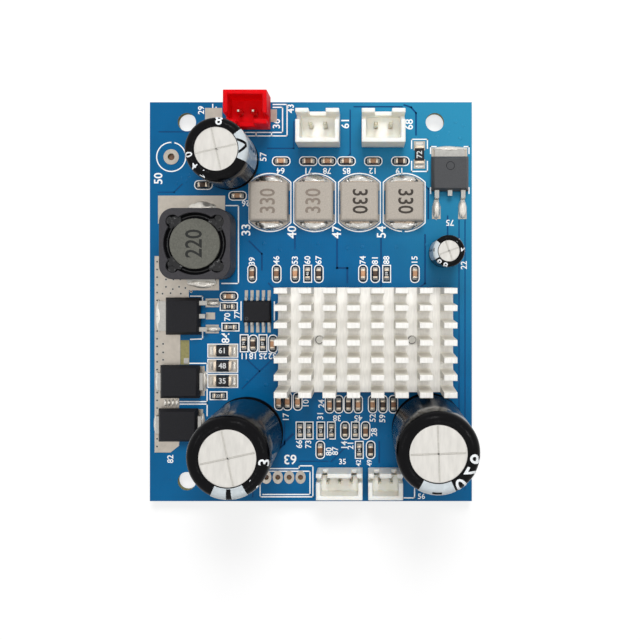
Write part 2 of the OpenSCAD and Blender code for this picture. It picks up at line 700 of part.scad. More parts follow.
module rectifier_diode_upper() { diode_body(diode_upper_at); }
module rectifier_diode_upper_terminals() { diode_terminals(diode_upper_at); }
module rectifier_diode_lower() { diode_body(diode_lower_at); }
module rectifier_diode_lower_terminals() { diode_terminals(diode_lower_at); }

// Boost controller

module boost_controller_leads() {
    color("#c9cccf")
    for (p = row(controller_at, controller_pins, controller_pitch), turn = [0, 180]) put(p, seat, turn)
        gull(0.4 * controller_pitch, 0.2, controller_l / 2 - 0.5, controller_l / 2 + 1.1, 0.45 * controller_h,
            controller_l / 2 + 0.25);
}

module boost_controller() {
    color("#232427")
    difference() {
        put(controller_at, seat + 0.12)
            moulded([controller_w, controller_l, controller_h - 0.12], 0.3, 0.45 * controller_h);
        boost_controller_leads();
    }
}

// Shrouded headers: an open box with key slots in one long wall; its pins stand in the floor

module housing(n, pitch, w, depth, h, pin_w, slots, side_slot) {
    difference() {
        translate([-w / 2, -depth / 2, 0]) cube([w, depth, h]);
        translate([housing_wall - w / 2, housing_wall - depth / 2, housing_floor])
            cube([w - 2 * housing_wall, depth - 2 * housing_wall, h]);
        for (s = slots) translate([s[0] - s[1] / 2, depth / 2 - housing_wall - eps, s[2]])
            cube([s[1], housing_wall + 2 * eps, h]);
        translate([-w / 2 - eps, depth / 2 - housing_wall - side_slot, 0.45 * h]) cube([w + 2 * eps, side_slot, h]);
        for (p = row([0, pin_shift], n, pitch)) translate([p.x - pin_w / 2 - fit, p.y - pin_w / 2 - fit, -eps])
            cube([pin_w + 2 * fit, pin_w + 2 * fit, housing_floor + 2 * eps]);
    }
}

module large_housing(shade) {
    color(shade) housing(2, large_pitch, large_w, large_depth, large_h, large_pin_w,
        [[0, 0.39 * large_w, 0.48 * large_h]], 1.1);
}

module small_housing(n, shade) {
    w = small_w(n);
    color(shade) housing(n, small_pitch, w, small_depth, small_h, small_pin_w,
        [for (s = [-1, 1]) [s * (w / 2 - 1.45), 0.9, 0.3 * small_h]], 0.8);
}

module pins(places, w, z1) {
    color("#d6d3c4") for (p = places) put(p) post(w, -lead_stub, seat + z1);
}

module power_header_housing() { put(power_at, seat, 180) large_housing("#c3202b"); }
module power_header_pins() { pins(power_pins, large_pin_w, 0.83 * large_h); }
module speaker_header_left_housing() { put(speaker_left_at, seat) large_housing("#efeee8"); }
module speaker_header_left_pins() { pins(speaker_left_pins, large_pin_w, 0.83 * large_h); }
module speaker_header_right_housing() { put(speaker_right_at, seat) large_housing("#efeee8"); }
module speaker_header_right_pins() { pins(speaker_right_pins, large_pin_w, 0.83 * large_h); }
module signal_header_housing() { put(signal_at, seat) small_housing(3, "#efeee8"); }
module signal_header_pins() { pins(signal_pins, small_pin_w, 0.83 * small_h); }
module mute_header_housing() { put(mute_at, seat) small_housing(2, "#efeee8"); }
module mute_header_pins() { pins(mute_pins, small_pin_w, 0.83 * small_h); }

// Chip parts: a body between two end terminals

module chip_block(p, l, w, h, turn) {
    put(p, seat, turn) translate([-l / 2, -w / 2, 0]) cube([l, w, h]);
}

module chip_ends(p, l, w, h, band, turn) {
    put(p, seat, turn) for (s = [0, 1]) translate([s * (l - band) - l / 2, -w / 2, 0]) cube([band, w, h]);
}

module chip_capacitors() {
    color("#7b6247") {
        for (p = flat_caps) chip_block(p, chip_l - 2 * chip_band, chip_w, chip_cap_h, 0);
        for (p = upright_caps) chip_block(p, chip_l - 2 * chip_band, chip_w, chip_cap_h, 90);
    }
}

module chip_resistors() {
    color("#1c1c1f") {
        for (p = flat_resistors) chip_block(p, chip_l - 2 * chip_band, chip_w, chip_res_h, 0);
        for (p = upright_resistors) chip_block(p, chip_l - 2 * chip_band, chip_w, chip_res_h, 90);
        for (p = sense_places) chip_block(p, sense_l - 2 * sense_band, sense_w, chip_res_h, 0);
        chip_block(feed_resistor_at, sense_l - 2 * sense_band, sense_w, chip_res_h, 90);
    }
}

module chip_terminals() {
    color("#cdd0d3") {
        for (p = flat_caps) chip_ends(p, chip_l, chip_w, chip_cap_h, chip_band, 0);
        for (p = upright_caps) chip_ends(p, chip_l, chip_w, chip_cap_h, chip_band, 90);
        for (p = flat_resistors) chip_ends(p, chip_l, chip_w, chip_res_h, chip_band, 0);
        for (p = upright_resistors) chip_ends(p, chip_l, chip_w, chip_res_h, chip_band, 90);
        for (p = sense_places) chip_ends(p, sense_l, sense_w, chip_res_h, sense_band, 0);
        chip_ends(feed_resistor_at, sense_l, sense_w, chip_res_h, sense_band, 90);
    }
}

// Solder joints around the leads on the underside

module joint(p) {
    put(p, -solder_h) difference() {
        cylinder(d1 = 0.62 * solder_d, d2 = solder_d, h = solder_h);
        translate([0, 0, -eps]) children();
    }
}

module solder_joints() {
    color("#c4c8cb") {
        for (p = can_leads) joint(p) cylinder(d = can_lead_d + 2 * fit, h = solder_h + 2 * eps);
        for (p = bias_leads) joint(p) cylinder(d = bias_lead_d + 2 * fit, h = solder_h + 2 * eps);
        for (p = large_pins) joint(p) translate([-large_pin_w / 2 - fit, -large_pin_w / 2 - fit, 0])
            cube([large_pin_w + 2 * fit, large_pin_w + 2 * fit, solder_h + 2 * eps]);
        for (p = small_pins) joint(p) translate([-small_pin_w / 2 - fit, -small_pin_w / 2 - fit, 0])
            cube([small_pin_w + 2 * fit, small_pin_w + 2 * fit, solder_h + 2 * eps]);
    }
}

circuit_board();
tinned_copper();
heatsink();
heatsink_screws();
thermal_pad();
amplifier_chip();
amplifier_chip_leads();
bulk_capacitor_left_can();
bulk_capacitor_left_sleeve();
bulk_capacitor_left_bung();
bulk_capacitor_left_leads();
bulk_capacitor_right_can();
bulk_capacitor_right_sleeve();
bulk_capacitor_right_bung();
bulk_capacitor_right_leads();
supply_capacitor_can();
supply_capacitor_sleeve();
supply_capacitor_bung();
supply_capacitor_leads();
bias_capacitor_can();
bias_capacitor_sleeve();
bias_capacitor_bung();
bias_capacitor_leads();
boost_inductor_core();
boost_inductor_shield();
boost_inductor_winding();
boost_inductor_terminals();
output_inductor(0);  // output_inductor_1
output_inductor(1);  // output_inductor_2
output_inductor(2);  // output_inductor_3
output_inductor(3);  // output_inductor_4
output_inductor_terminals(0);  // output_inductor_terminals_1
output_inductor_terminals(1);  // output_inductor_terminals_2
output_inductor_terminals(2);  // output_inductor_terminals_3
output_inductor_terminals(3);  // output_inductor_terminals_4
regulator_body();
regulator_leadframe();
switch_transistor_body();
switch_transistor_leadframe();
rectifier_diode_upper();
rectifier_diode_upper_terminals();
rectifier_diode_lower();
rectifier_diode_lower_terminals();
boost_controller();
boost_controller_leads();
power_header_housing();
power_header_pins();
speaker_header_left_housing();
speaker_header_left_pins();
speaker_header_right_housing();
speaker_header_right_pins();
signal_header_housing();
signal_header_pins();
mute_header_housing();
mute_header_pins();
chip_capacitors();
chip_resistors();
chip_terminals();
solder_joints();
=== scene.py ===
"""Looks of a stereo audio amplifier board, built around its packed solids."""

import itertools
import math
from collections import namedtuple

import bmesh
import bpy
from bpy.props import FloatProperty, FloatVectorProperty, PointerProperty
from mathutils import Matrix, Vector, noise


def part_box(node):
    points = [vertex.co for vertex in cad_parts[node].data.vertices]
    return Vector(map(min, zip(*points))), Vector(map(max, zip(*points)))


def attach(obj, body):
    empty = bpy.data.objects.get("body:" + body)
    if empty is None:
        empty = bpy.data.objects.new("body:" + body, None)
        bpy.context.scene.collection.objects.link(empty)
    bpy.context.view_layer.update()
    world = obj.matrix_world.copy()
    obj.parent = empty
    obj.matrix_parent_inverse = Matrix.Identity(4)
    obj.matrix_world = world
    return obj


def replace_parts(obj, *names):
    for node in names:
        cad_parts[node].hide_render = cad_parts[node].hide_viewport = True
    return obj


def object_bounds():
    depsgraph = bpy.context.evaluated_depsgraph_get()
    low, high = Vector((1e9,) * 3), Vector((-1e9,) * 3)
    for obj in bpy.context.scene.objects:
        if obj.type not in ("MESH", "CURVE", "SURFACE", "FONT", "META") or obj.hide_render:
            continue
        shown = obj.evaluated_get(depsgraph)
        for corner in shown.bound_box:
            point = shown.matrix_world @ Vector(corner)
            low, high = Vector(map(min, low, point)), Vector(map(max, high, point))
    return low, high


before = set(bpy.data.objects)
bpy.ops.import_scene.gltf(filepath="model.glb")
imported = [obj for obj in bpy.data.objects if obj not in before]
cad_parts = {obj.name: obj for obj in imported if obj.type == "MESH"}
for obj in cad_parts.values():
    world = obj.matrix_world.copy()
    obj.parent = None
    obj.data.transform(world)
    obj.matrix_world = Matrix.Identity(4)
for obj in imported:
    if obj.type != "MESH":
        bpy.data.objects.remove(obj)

bl_info = {
    "name": "Amplifier board looks",
    "version": (1, 0, 0),
    "blender": (4, 5, 0),
    "location": "3D View > Sidebar > Amplifier",
    "description": "Finishes, print, solder and stage of an audio amplifier board",
    "category": "Object",
}

MM = 0.001
# A wave texture of scale 1 has a period of 0.314 m
WAVE = 0.314
# Thickness of the thinnest films, and how far a drop sinks into what carries it
FILM = 0.012 * MM
SINK = 0.02 * MM
CAD_BOX = [list(corner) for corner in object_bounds()]


def linear(code):
    """Linear colour of an sRGB hex value."""
    parts = [int(code[i:i + 2], 16) / 255 for i in (1, 3, 5)]
    return [c / 12.92 if c <= 0.04045 else ((c + 0.055) / 1.055) ** 2.4 for c in parts]


def colour(label, text, code):
    """A colour that a user can change."""
    return FloatVectorProperty(name=label, description=text, default=linear(code), subtype="COLOR",
                               min=0, max=1)


def length(label, text, size):
    """A length that a user can change, given in millimetres."""
    return FloatProperty(name=label, description=text, default=size * MM, unit="LENGTH", min=0, precision=5)


def power(label, text, watts):
    """Power of a lamp that a user can change."""
    return FloatProperty(name=label, description=text, default=watts, unit="POWER", min=0)


# Sizes and colours that a user would change


class BoardLook(bpy.types.PropertyGroup):
    """Laminate, tin and print."""
    mask: colour("Mask", "Solder mask over copper", "#005b8d")
    # Painted sheen: paler mask laid towards the north-east corner, standing in for light falling there
    mask_sheen: colour("Thin mask", "Solder mask where the ink is thin", "#2a8bb1")
    mask_gap: colour("Mask gap", "Solder mask over bare laminate", "#004272")
    # Painted shade: the dark mask round each chip
    stain: colour("Stain", "Solder mask stained by flux round the chips", "#0a2538")
    laminate: colour("Laminate", "Cut edge of the glass laminate", "#a9a77c")
    tin: colour("Tin", "Tinned copper", "#bdb5aa")
    print_ink: colour("Print", "White legend ink", "#fbfcfa")
    line: length("Line", "Width of a printed line", 0.2)
    ink: length("Ink", "Thickness of the print", 0.03)
    digit: length("Digit", "Height of a printed number", 1.05)


class PartLook(bpy.types.PropertyGroup):
    """Parts on the board."""
    heatsink: colour("Heatsink", "Clear anodised aluminium", "#fbf6ed")
    # Sawn faces, and painted shade on the faces of the heatsink that look up
    slots: colour("Heatsink slots", "Sawn aluminium", "#f3f1ec")
    can: colour("Can", "Bare aluminium can top", "#dedbd5")
    sleeve: colour("Sleeve", "Shrink sleeve of a capacitor", "#070709")
    strip: colour("Strip", "Polarity strip on a sleeve", "#c3cbcf")
    white_nylon: colour("White housing", "Natural nylon housing", "#f9f6ee")
    red_nylon: colour("Red housing", "Red nylon housing", "#ee0812")
    choke: colour("Output inductor", "Pressed iron powder", "#b0a89e")
    shield: colour("Shield", "Ferrite shield of the boost inductor", "#3a393c")
    softness: length("Edge", "Rounding of moulded edges", 0.12)


class StageLook(bpy.types.PropertyGroup):
    """Floor, light and camera."""
    floor: colour("Floor", "Pale floor", "#f4f4f4")
    softbox: power("Softbox", "Power of the overhead softbox", 1.05)
    north: power("North", "Power of the softbox in the north", 1.4)
    key: power("Key", "Power of the brightest of four lamps", 0.11)
    world: FloatProperty(name="World", description="Strength of the even light", default=0.29, min=0)
    camera: length("Camera", "Height of the camera above the board", 175)
    lens: FloatProperty(name="Lens", description="Focal length", default=56.1, unit="CAMERA", min=1)


# Materials


def add(tree, kind, settings=None, inputs=None):
    """Adds a node with its settings; an input is a value or the output it is linked to."""
    node = tree.nodes.new(kind)
    for name, value in (settings or {}).items():
        setattr(node, name, value)
    for name, value in (inputs or {}).items():
        if isinstance(value, bpy.types.NodeSocket):
            tree.links.new(value, node.inputs[name])
        else:
            node.inputs[name].default_value = value
    return node


def rgba(base, factor=1.0):
    """A colour made lighter or darker, with alpha."""
    return [min(1.0, c * factor) for c in base] + [1.0]


def emptied(holder):
    """Node tree of a material or world with nothing in it."""
    holder.use_nodes = True
    holder.node_tree.nodes.clear()
    return holder.node_tree


def surface(name):
    """A new material: itself, its node tree and its shader."""
    made = bpy.data.materials.new(name)
    tree = emptied(made)
    shader = add(tree, "ShaderNodeBsdfPrincipled")
    add(tree, "ShaderNodeOutputMaterial", None, {"Surface": shader.outputs[0]})
    return made, tree, shader


def grained(name, base, spread, grain, rough, depth, metallic=0.0, ior=1.5, stretch=(1, 1, 1),
            gloss_level=0.5, depth_of_light=0.0):
    """A surface whose colour, gloss and relief follow one grain.

    grain, depth and depth_of_light are in mm, rough is the roughness in the dark and the pale grain.
    """
    made, tree, shader = surface(name)
    place = add(tree, "ShaderNodeTexCoord")
    drawn = add(tree, "ShaderNodeMapping", None, {"Vector": place.outputs["Object"], "Scale": stretch})
    speckle = add(tree, "ShaderNodeTexNoise", None,
                  {"Vector": drawn.outputs[0], "Scale": 1 / (grain * MM), "Detail": 4.0, "Roughness": 0.6})
    # The noise runs mostly between 0.3 and 0.7
    spanned = {"Value": speckle.outputs[0], "From Min": 0.3, "From Max": 0.7}
    share = add(tree, "ShaderNodeMapRange", None, spanned)
    tone = add(tree, "ShaderNodeMix", {"data_type": "RGBA"},
               {0: share.outputs[0], 6: rgba(base, 1 - spread), 7: rgba(base, 1 + spread)})
    gloss = add(tree, "ShaderNodeMapRange", None, {**spanned, "To Min": rough[0], "To Max": rough[1]})
    relief = add(tree, "ShaderNodeBump", None,
                 {"Height": speckle.outputs[0], "Strength": 1.0, "Distance": depth * MM})
    shader.inputs["Metallic"].default_value = metallic
    if not metallic:
        shader.inputs["IOR"].default_value = ior
        shader.inputs["Specular IOR Level"].default_value = gloss_level
    if depth_of_light:
        shader.inputs["Subsurface Weight"].default_value = 0.9
        shader.inputs["Subsurface Radius"].default_value = (1.0, 0.9, 0.8)
        shader.inputs["Subsurface Scale"].default_value = depth_of_light * MM
    tree.links.new(tone.outputs[2], shader.inputs["Base Color"])
    tree.links.new(gloss.outputs[0], shader.inputs["Roughness"])
    tree.links.new(relief.outputs[0], shader.inputs["Normal"])
    return made


def solder_mask(name):
    """Epoxy mask on glass laminate: deep blue gloss, faint cloth weave, raw yellowish cut edges."""
    look = bpy.context.scene.board_look
    made, tree, shader = surface(name)
    place = add(tree, "ShaderNodeTexCoord")
    # Thickness of the ink drifts over about 9 mm
    cloud = add(tree, "ShaderNodeTexNoise", None,
                {"Vector": place.outputs["Object"], "Scale": 1 / (9 * MM), "Detail": 5.0, "Roughness": 0.55})
    tone = add(tree, "ShaderNodeMix", {"data_type": "RGBA"},
               {0: cloud.outputs[0], 6: rgba(look.mask, 0.72), 7: rgba(look.mask, 1.28)})
    # Painted sheen: the mask turns paler towards the north-east corner, 28 mm by 35 mm from the middle,
    # standing in for light falling there
    along = add(tree, "ShaderNodeVectorMath", {"operation": "DOT_PRODUCT"},
                {0: place.outputs["Object"], 1: (1 / (28 * MM), 1 / (35 * MM), 0)})
    thin = add(tree, "ShaderNodeMapRange", {"interpolation_type": "SMOOTHSTEP"},
               {"Value": along.outputs["Value"], "From Min": 0.3, "From Max": 2.0})
    tone = add(tree, "ShaderNodeMix", {"data_type": "RGBA"},
               {0: thin.outputs[0], 6: tone.outputs[2], 7: rgba(look.mask_sheen)})
    # Glass cloth with a thread every 0.45 mm
    weave = [add(tree, "ShaderNodeTexWave", {"bands_direction": way},
                 {"Vector": place.outputs["Object"], "Scale": WAVE / (0.45 * MM), "Distortion": 0.6})
             for way in ("X", "Y")]
    cloth = add(tree, "ShaderNodeMath", {"operation": "ADD"},
                {0: weave[0].outputs[1], 1: weave[1].outputs[1]})
    relief = add(tree, "ShaderNodeBump", None,
                 {"Height": cloth.outputs[0], "Strength": 0.35, "Distance": 0.006 * MM})
    # The cut edge shows the plies of the laminate, 0.2 mm each
    plies = add(tree, "ShaderNodeTexWave", {"bands_direction": "Z"},
                {"Vector": place.outputs["Object"], "Scale": WAVE / (0.2 * MM), "Distortion": 2.0,
                 "Detail": 3.0})
    edge = add(tree, "ShaderNodeMix", {"data_type": "RGBA"},
               {0: plies.outputs[1], 6: rgba(look.laminate, 0.7), 7: rgba(look.laminate, 1.1)})
    facing = add(tree, "ShaderNodeSeparateXYZ", None, {0: place.outputs["Normal"]})
    flat = add(tree, "ShaderNodeMath", {"operation": "ABSOLUTE"}, {0: facing.outputs["Z"]})
    side = add(tree, "ShaderNodeMath", {"operation": "LESS_THAN"}, {0: flat.outputs[0], 1: 0.5})
    both = add(tree, "ShaderNodeMix", {"data_type": "RGBA"},
               {0: side.outputs[0], 6: tone.outputs[2], 7: edge.outputs[2]})
    gloss = add(tree, "ShaderNodeMapRange", None, {"Value": side.outputs[0], "To Min": 0.27, "To Max": 0.75})
    shader.inputs["IOR"].default_value = 1.5
    shader.inputs["Specular IOR Level"].default_value = 0.18
    tree.links.new(both.outputs[2], shader.inputs["Base Color"])
    tree.links.new(gloss.outputs[0], shader.inputs["Roughness"])
    tree.links.new(relief.outputs[0], shader.inputs["Normal"])
    return made


def chip_ceramic(name):
    """Fired barium titanate: each chip its own brown, from tan to dark, with a matt grain."""
    made, tree, shader = surface(name)
    island = add(tree, "ShaderNodeNewGeometry")
    ramp = add(tree, "ShaderNodeValToRGB", None, {"Fac": island.outputs["Random Per Island"]})
    ramp.color_ramp.interpolation = "CONSTANT"
    tones = ("#c49876", "#523f32", "#d6a27c", "#8f6b52", "#cc9f80")
    for i, code in enumerate(tones):
        stop = ramp.color_ramp.elements[i] if i < 2 else ramp.color_ramp.elements.new(0.5)
        stop.position = i / len(tones)
        stop.color = rgba(linear(code))
    place = add(tree, "ShaderNodeTexCoord")
    grit = add(tree, "ShaderNodeTexNoise", None,
               {"Vector": place.outputs["Object"], "Scale": 1 / (0.15 * MM), "Detail": 3.0})
    tone = add(tree, "ShaderNodeMix", {"data_type": "RGBA", "blend_type": "MULTIPLY"},
               {0: 0.35, 6: ramp.outputs[0], 7: grit.outputs[1]})
    relief = add(tree, "ShaderNodeBump", None,
                 {"Height": grit.outputs[0], "Strength": 0.6, "Distance": 0.02 * MM})
    shader.inputs["Roughness"].default_value = 0.5
    tree.links.new(tone.outputs[2], shader.inputs["Base Color"])
    tree.links.new(relief.outputs[0], shader.inputs["Normal"])
    return made


# Finishes with a pattern of their own
PATTERNED = {"solder_mask_on_laminate": solder_mask, "fired_ceramic": chip_ceramic}
METAL = {"metallic": 1.0}
# Each finish: its colour, as a hex value or one of the looks, the spread of that colour, the grain in mm,
# the roughness in the dark and the pale grain, the relief in mm, and what else departs from plain plastic
FINISHES = {
    # Mask without copper under it: darker blue, same gloss
    "solder_mask_gap": ("board_look.mask_gap", 0.18, 3.0, (0.3, 0.4), 0.004, {"gloss_level": 0.2}),
    # Mask between a chip and its outline, darkened as painted shade round the chip
    "flux_stained_mask": ("board_look.stain", 0.25, 0.6, (0.3, 0.45), 0.006, {"gloss_level": 0.2}),
    # Screen-printed epoxy ink: flat white with ragged gloss
    "legend_ink": ("board_look.print_ink", 0.05, 0.4, (0.5, 0.7), 0.006, {}),
    # Hot-air levelled tin: pale warm grey, low waves of about 1.2 mm, satin gloss
    "levelled_tin": ("board_look.tin", 0.1, 1.2, (0.34, 0.5), 0.03, METAL),
    # Extruded aluminium, clear anodised: milky bright satin, drawn lines along the fins
    "clear_anodised_aluminium": ("part_look.heatsink", 0.06, 0.25, (0.42, 0.56), 0.012,
                                 {"stretch": (0.12, 1, 1), "gloss_level": 0.4}),
    # Sawn faces of the slots and across the fins: cooler and duller, with marks along the cut; the fin tips
    # and other faces that look up share it as painted shade
    "sawn_aluminium": ("part_look.slots", 0.08, 0.25, (0.5, 0.65), 0.012,
                       {"stretch": (1, 0.12, 1), "gloss_level": 0.3}),
    # Drawn aluminium can: bright satin, faint lines from the press
    "drawn_aluminium": ("part_look.can", 0.06, 0.5, (0.3, 0.44), 0.008,
                        {"metallic": 1.0, "stretch": (1, 0.2, 1)}),
    # Shrunk plastic film: near black, wet gloss, fine upright wrinkles
    "shrink_film": ("part_look.sleeve", 0.2, 1.3, (0.1, 0.24), 0.09,
                    {"ior": 1.54, "gloss_level": 0.09, "stretch": (1, 1, 0.12)}),
    # Pale ink on the film: grey-white, same gloss
    "strip_ink": ("part_look.strip", 0.08, 1.5, (0.16, 0.3), 0.03, {}),
    # Black ink on the strip: dull
    "mark_ink": ("#0a0a0c", 0.2, 1.5, (0.2, 0.3), 0.01, {"gloss_level": 0.13}),
    # White ink of the numbers on the film: soft gloss
    "pale_ink": ("#e9ecee", 0.05, 1.0, (0.25, 0.4), 0.01, {}),
    # Sintered ferrite: charcoal, dry
    "sintered_ferrite": ("part_look.shield", 0.2, 0.3, (0.42, 0.6), 0.03, {"gloss_level": 0.25}),
    # Pressed iron powder: warm grey, matt, with fine bright and dark grains
    "pressed_iron_powder": ("part_look.choke", 0.13, 0.22, (0.5, 0.68), 0.03, {"gloss_level": 0.25}),
    # Natural nylon: warm white, waxy, slightly cloudy
    "natural_nylon": ("part_look.white_nylon", 0.04, 1.0, (0.42, 0.55), 0.01,
                      {"ior": 1.53, "gloss_level": 0.35, "depth_of_light": 0.8}),
    # Red nylon: saturated, waxy
    "dyed_red_nylon": ("part_look.red_nylon", 0.08, 1.0, (0.5, 0.6), 0.01,
                       {"ior": 1.53, "gloss_level": 0.12, "depth_of_light": 3.0}),
    # Print on a resistor: pale grey, thin
    "resistor_print": ("#d9dbdb", 0.08, 0.2, (0.4, 0.6), 0.005, {}),
    # Solder that froze bright: silver with soft ripples
    "bright_solder": ("#d2d0cb", 0.1, 1.4, (0.2, 0.34), 0.05, METAL),
    # Solder that froze slowly: pale, milky, with low waves
    "dull_solder": ("#e4dfd6", 0.14, 0.8, (0.25, 0.42), 0.05, {"metallic": 0.65}),
    # Tin plate on stamped leads: silver-grey, fine drag lines along the strip
    "tin_plate": ("#b7b5b0", 0.1, 0.35, (0.28, 0.42), 0.015, METAL),
    # Zinc plated screw steel: cool grey and slightly cloudy
    "zinc_plated_steel": ("#dedcd6", 0.1, 0.4, (0.3, 0.45), 0.01, METAL),
    # Painted shade in a pressed score: the same metal, a little duller and darker
    "pressed_aluminium": ("#cbc8c1", 0.12, 0.3, (0.4, 0.55), 0.01, METAL),
    # Fired and tinned end of a chip: pale warm silver, satin
    "tinned_chip_end": ("#f0dfc9", 0.08, 0.3, (0.3, 0.45), 0.02, {"metallic": 0.6}),
    # Filled silicone pad: dull grey rubber
    "filled_silicone": ("#8f9399", 0.1, 0.3, (0.7, 0.85), 0.02, {}),
    # Moulding compound: near black, eroded mould texture of about 0.12 mm
    "black_mould_compound": ("#1d1d20", 0.3, 0.14, (0.5, 0.66), 0.02, {"gloss_level": 0.2}),
    # Grey moulding compound of the regulator: same texture, faded
    "grey_mould_compound": ("#4b4c4e", 0.14, 0.14, (0.5, 0.66), 0.02, {"gloss_level": 0.25}),
    # Butyl bung: dead black rubber
    "butyl_rubber": ("#2a2522", 0.2, 0.3, (0.75, 0.9), 0.03, {}),
    # Ground ferrite of the drum: olive grey, dry, with dark pores
    "ground_ferrite": ("#63635c", 0.22, 0.25, (0.55, 0.75), 0.03, {"gloss_level": 0.25}),
    # Enamelled wire: warm copper under varnish
    "varnished_copper": ("#a5602c", 0.2, 0.5, (0.25, 0.4), 0.05, METAL),
    # Stamped copper strap with a thin tin wash: pinkish silver
    "tinned_copper_strap": ("#cdb9a4", 0.15, 0.6, (0.2, 0.4), 0.05, METAL),
    # Tinned brass pins: pale gold-grey
    "tinned_brass": ("#d6d1bf", 0.08, 0.3, (0.2, 0.34), 0.01, METAL),
    # Resistor overglaze: black glass, softly lumpy
    "black_overglaze": ("#17171a", 0.3, 0.3, (0.25, 0.45), 0.02, {"ior": 1.52, "gloss_level": 0.3}),
    # Black potting glue: wet gloss
    "black_potting": ("#09090b", 0.3, 0.8, (0.08, 0.2), 0.06, {"gloss_level": 0.45}),
    # Bare laminate without mask: olive glass cloth
    "bare_laminate": ("#8b8557", 0.16, 0.45, (0.45, 0.6), 0.02, {}),
    # Brown glassy fill sunk in the holes without a lead
    "rosin_flux": ("#6b4c38", 0.25, 0.4, (0.2, 0.35), 0.02, {}),
    # Painted shade: a dark colour standing for the shaded depth of a hole
    "hole_shadow": ("#1a1712", 0.2, 0.2, (0.7, 0.9), 0.01, {}),
    # Ink pressed into the top of an inductor: thin brown-black
    "dark_ink": ("#3a342f", 0.2, 0.2, (0.6, 0.8), 0.005, {}),
    # The same ink rubbed thin: barely darker than the powder
    "faint_ink": ("#857a70", 0.2, 0.3, (0.6, 0.8), 0.005, {}),
    # Ink on the drum core: black
    "black_ink": ("#1b1c1a", 0.2, 0.2, (0.6, 0.8), 0.005, {}),
}


def finish(name):
    """A finish by name, made once."""
    known = bpy.data.materials.get(name)
    if known:
        return known
    if name in PATTERNED:
        return PATTERNED[name](name)
    base, spread, grain, rough, depth, more = FINISHES[name]
    if base.startswith("#"):
        base = linear(base)
    else:
        group, field = base.split(".")
        base = getattr(getattr(bpy.context.scene, group), field)
    return grained(name, base, spread, grain, rough, depth, **more)


# Pieces


def keep(name, bm, finishes, sharp=35.0, weighted=False):
    """Makes a piece of a bmesh, at the origin, and lets it ride on the board."""
    mesh = bpy.data.meshes.new(name)
    bm.to_mesh(mesh)
    bm.free()
    if not mesh.polygons:
        raise RuntimeError(name + " has no faces")
    for known in finishes:
        mesh.materials.append(finish(known))
    mesh.shade_smooth()
    mesh.set_sharp_from_angle(angle=math.radians(sharp))
    piece = bpy.data.objects.new(name, mesh)
    bpy.context.scene.collection.objects.link(piece)
    if weighted:
        piece.modifiers.new("Even shading", "WEIGHTED_NORMAL").keep_sharp = True
    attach(piece, "root")
    return piece


def paint(node, name):
    """Gives a CAD node its finish."""
    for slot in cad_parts[node].material_slots:
        slot.material = finish(name)


def outward(bm):
    """Turns the faces of closed shells outwards."""
    bmesh.ops.recalc_face_normals(bm, faces=bm.faces[:])


def welded(node):
    """A bmesh of a CAD node with its shared corners joined."""
    bm = bmesh.new()
    bm.from_mesh(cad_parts[node].data)
    bmesh.ops.remove_doubles(bm, verts=bm.verts[:], dist=0.002 * MM)
    return bm


def merged(node):
    """A bmesh of a CAD node with its triangles joined too."""
    bm = welded(node)
    bmesh.ops.dissolve_limit(bm, angle_limit=math.radians(0.5), verts=bm.verts[:], edges=bm.edges[:])
    return bm


def rounded(node, width, finishes, segments=2, above=None, limit=30.0, sharp=50.0):
    """A copy of a CAD node with its sharp edges rounded, which stands for it."""
    bm = merged(node)
    edges = [e for e in bm.edges
             if len(e.link_faces) == 2 and e.calc_face_angle(0.0) > math.radians(limit)
             and (above is None or min(v.co.z for v in e.verts) > above)]
    bmesh.ops.bevel(bm, geom=edges, offset=width, offset_type="OFFSET", affect="EDGES", segments=segments,
                    profile=0.5, material=-1, clamp_overlap=True, loop_slide=True)
    piece = keep(node + "_rounded", bm, finishes, sharp, True)
    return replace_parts(piece, node)


def smooth_copy(node, finishes, sharp=35.0):
    """A copy of a turned CAD node with even shading, which stands for it."""
    piece = keep(node + "_smooth", welded(node), finishes, sharp)
    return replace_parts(piece, node)


def middle(node):
    """Middle of a CAD node's box."""
    low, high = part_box(node)
    return (low + high) / 2


def islands(node):
    """Boxes of the separate solids of a CAD node."""
    bm = merged(node)
    left, found = set(bm.verts), []
    while left:
        heap = [left.pop()]
        solid = []
        while heap:
            vert = heap.pop()
            solid.append(vert.co.copy())
            for edge in vert.link_edges:
                other = edge.other_vert(vert)
                if other in left:
                    left.remove(other)
                    heap.append(other)
        low = Vector(min(p[i] for p in solid) for i in range(3))
        high = Vector(max(p[i] for p in solid) for i in range(3))
        found.append((low, high))
    bm.free()
    return sorted(found, key=lambda box: (round(box[0].y, 5), round(box[0].x, 5)))


BOARD_LOW, BOARD_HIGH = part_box("circuit_board")
TOP = BOARD_HIGH.z
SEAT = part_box("tinned_copper")[1].z


def at(x, y, z=TOP, turn=0.0, scale=(1, 1, 1)):
    """Matrix of a place on the board, in metres, with a turn in degrees."""
    return (Matrix.Translation((x, y, z)) @ Matrix.Rotation(math.radians(turn), 4, "Z")
            @ Matrix.Diagonal((*scale, 1)))


def shape(bm):
    """Keeps a bmesh as a mesh that can be stamped."""
    mesh = bpy.data.meshes.new("stamp")
    bm.to_mesh(mesh)
    bm.free()
    return mesh


def stamp(bm, mesh, matrix, index=0):
    """Adds a mesh to a bmesh at a place."""
    verts, faces = len(bm.verts), len(bm.faces)
    bm.from_mesh(mesh)
    bm.verts.ensure_lookup_table()
    bm.faces.ensure_lookup_table()
    bmesh.ops.transform(bm, matrix=matrix, verts=bm.verts[verts:])
    for face in bm.faces[faces:]:
        face.material_index += index


def lift(bm, height):
    """Gives flat faces that height upwards."""
    made = bmesh.ops.extrude_face_region(bm, geom=bm.faces[:])["geom"]
    raised = [v for v in made if isinstance(v, bmesh.types.BMVert)]
    bmesh.ops.translate(bm, vec=(0, 0, height), verts=raised)
    outward(bm)
    if bm.calc_volume(signed=True) < 0:
        bmesh.ops.reverse_faces(bm, faces=bm.faces[:])
    return bm


def slab(bm, height):
    """A flat face as a thin solid that can be stamped."""
    return shape(lift(bm, height))


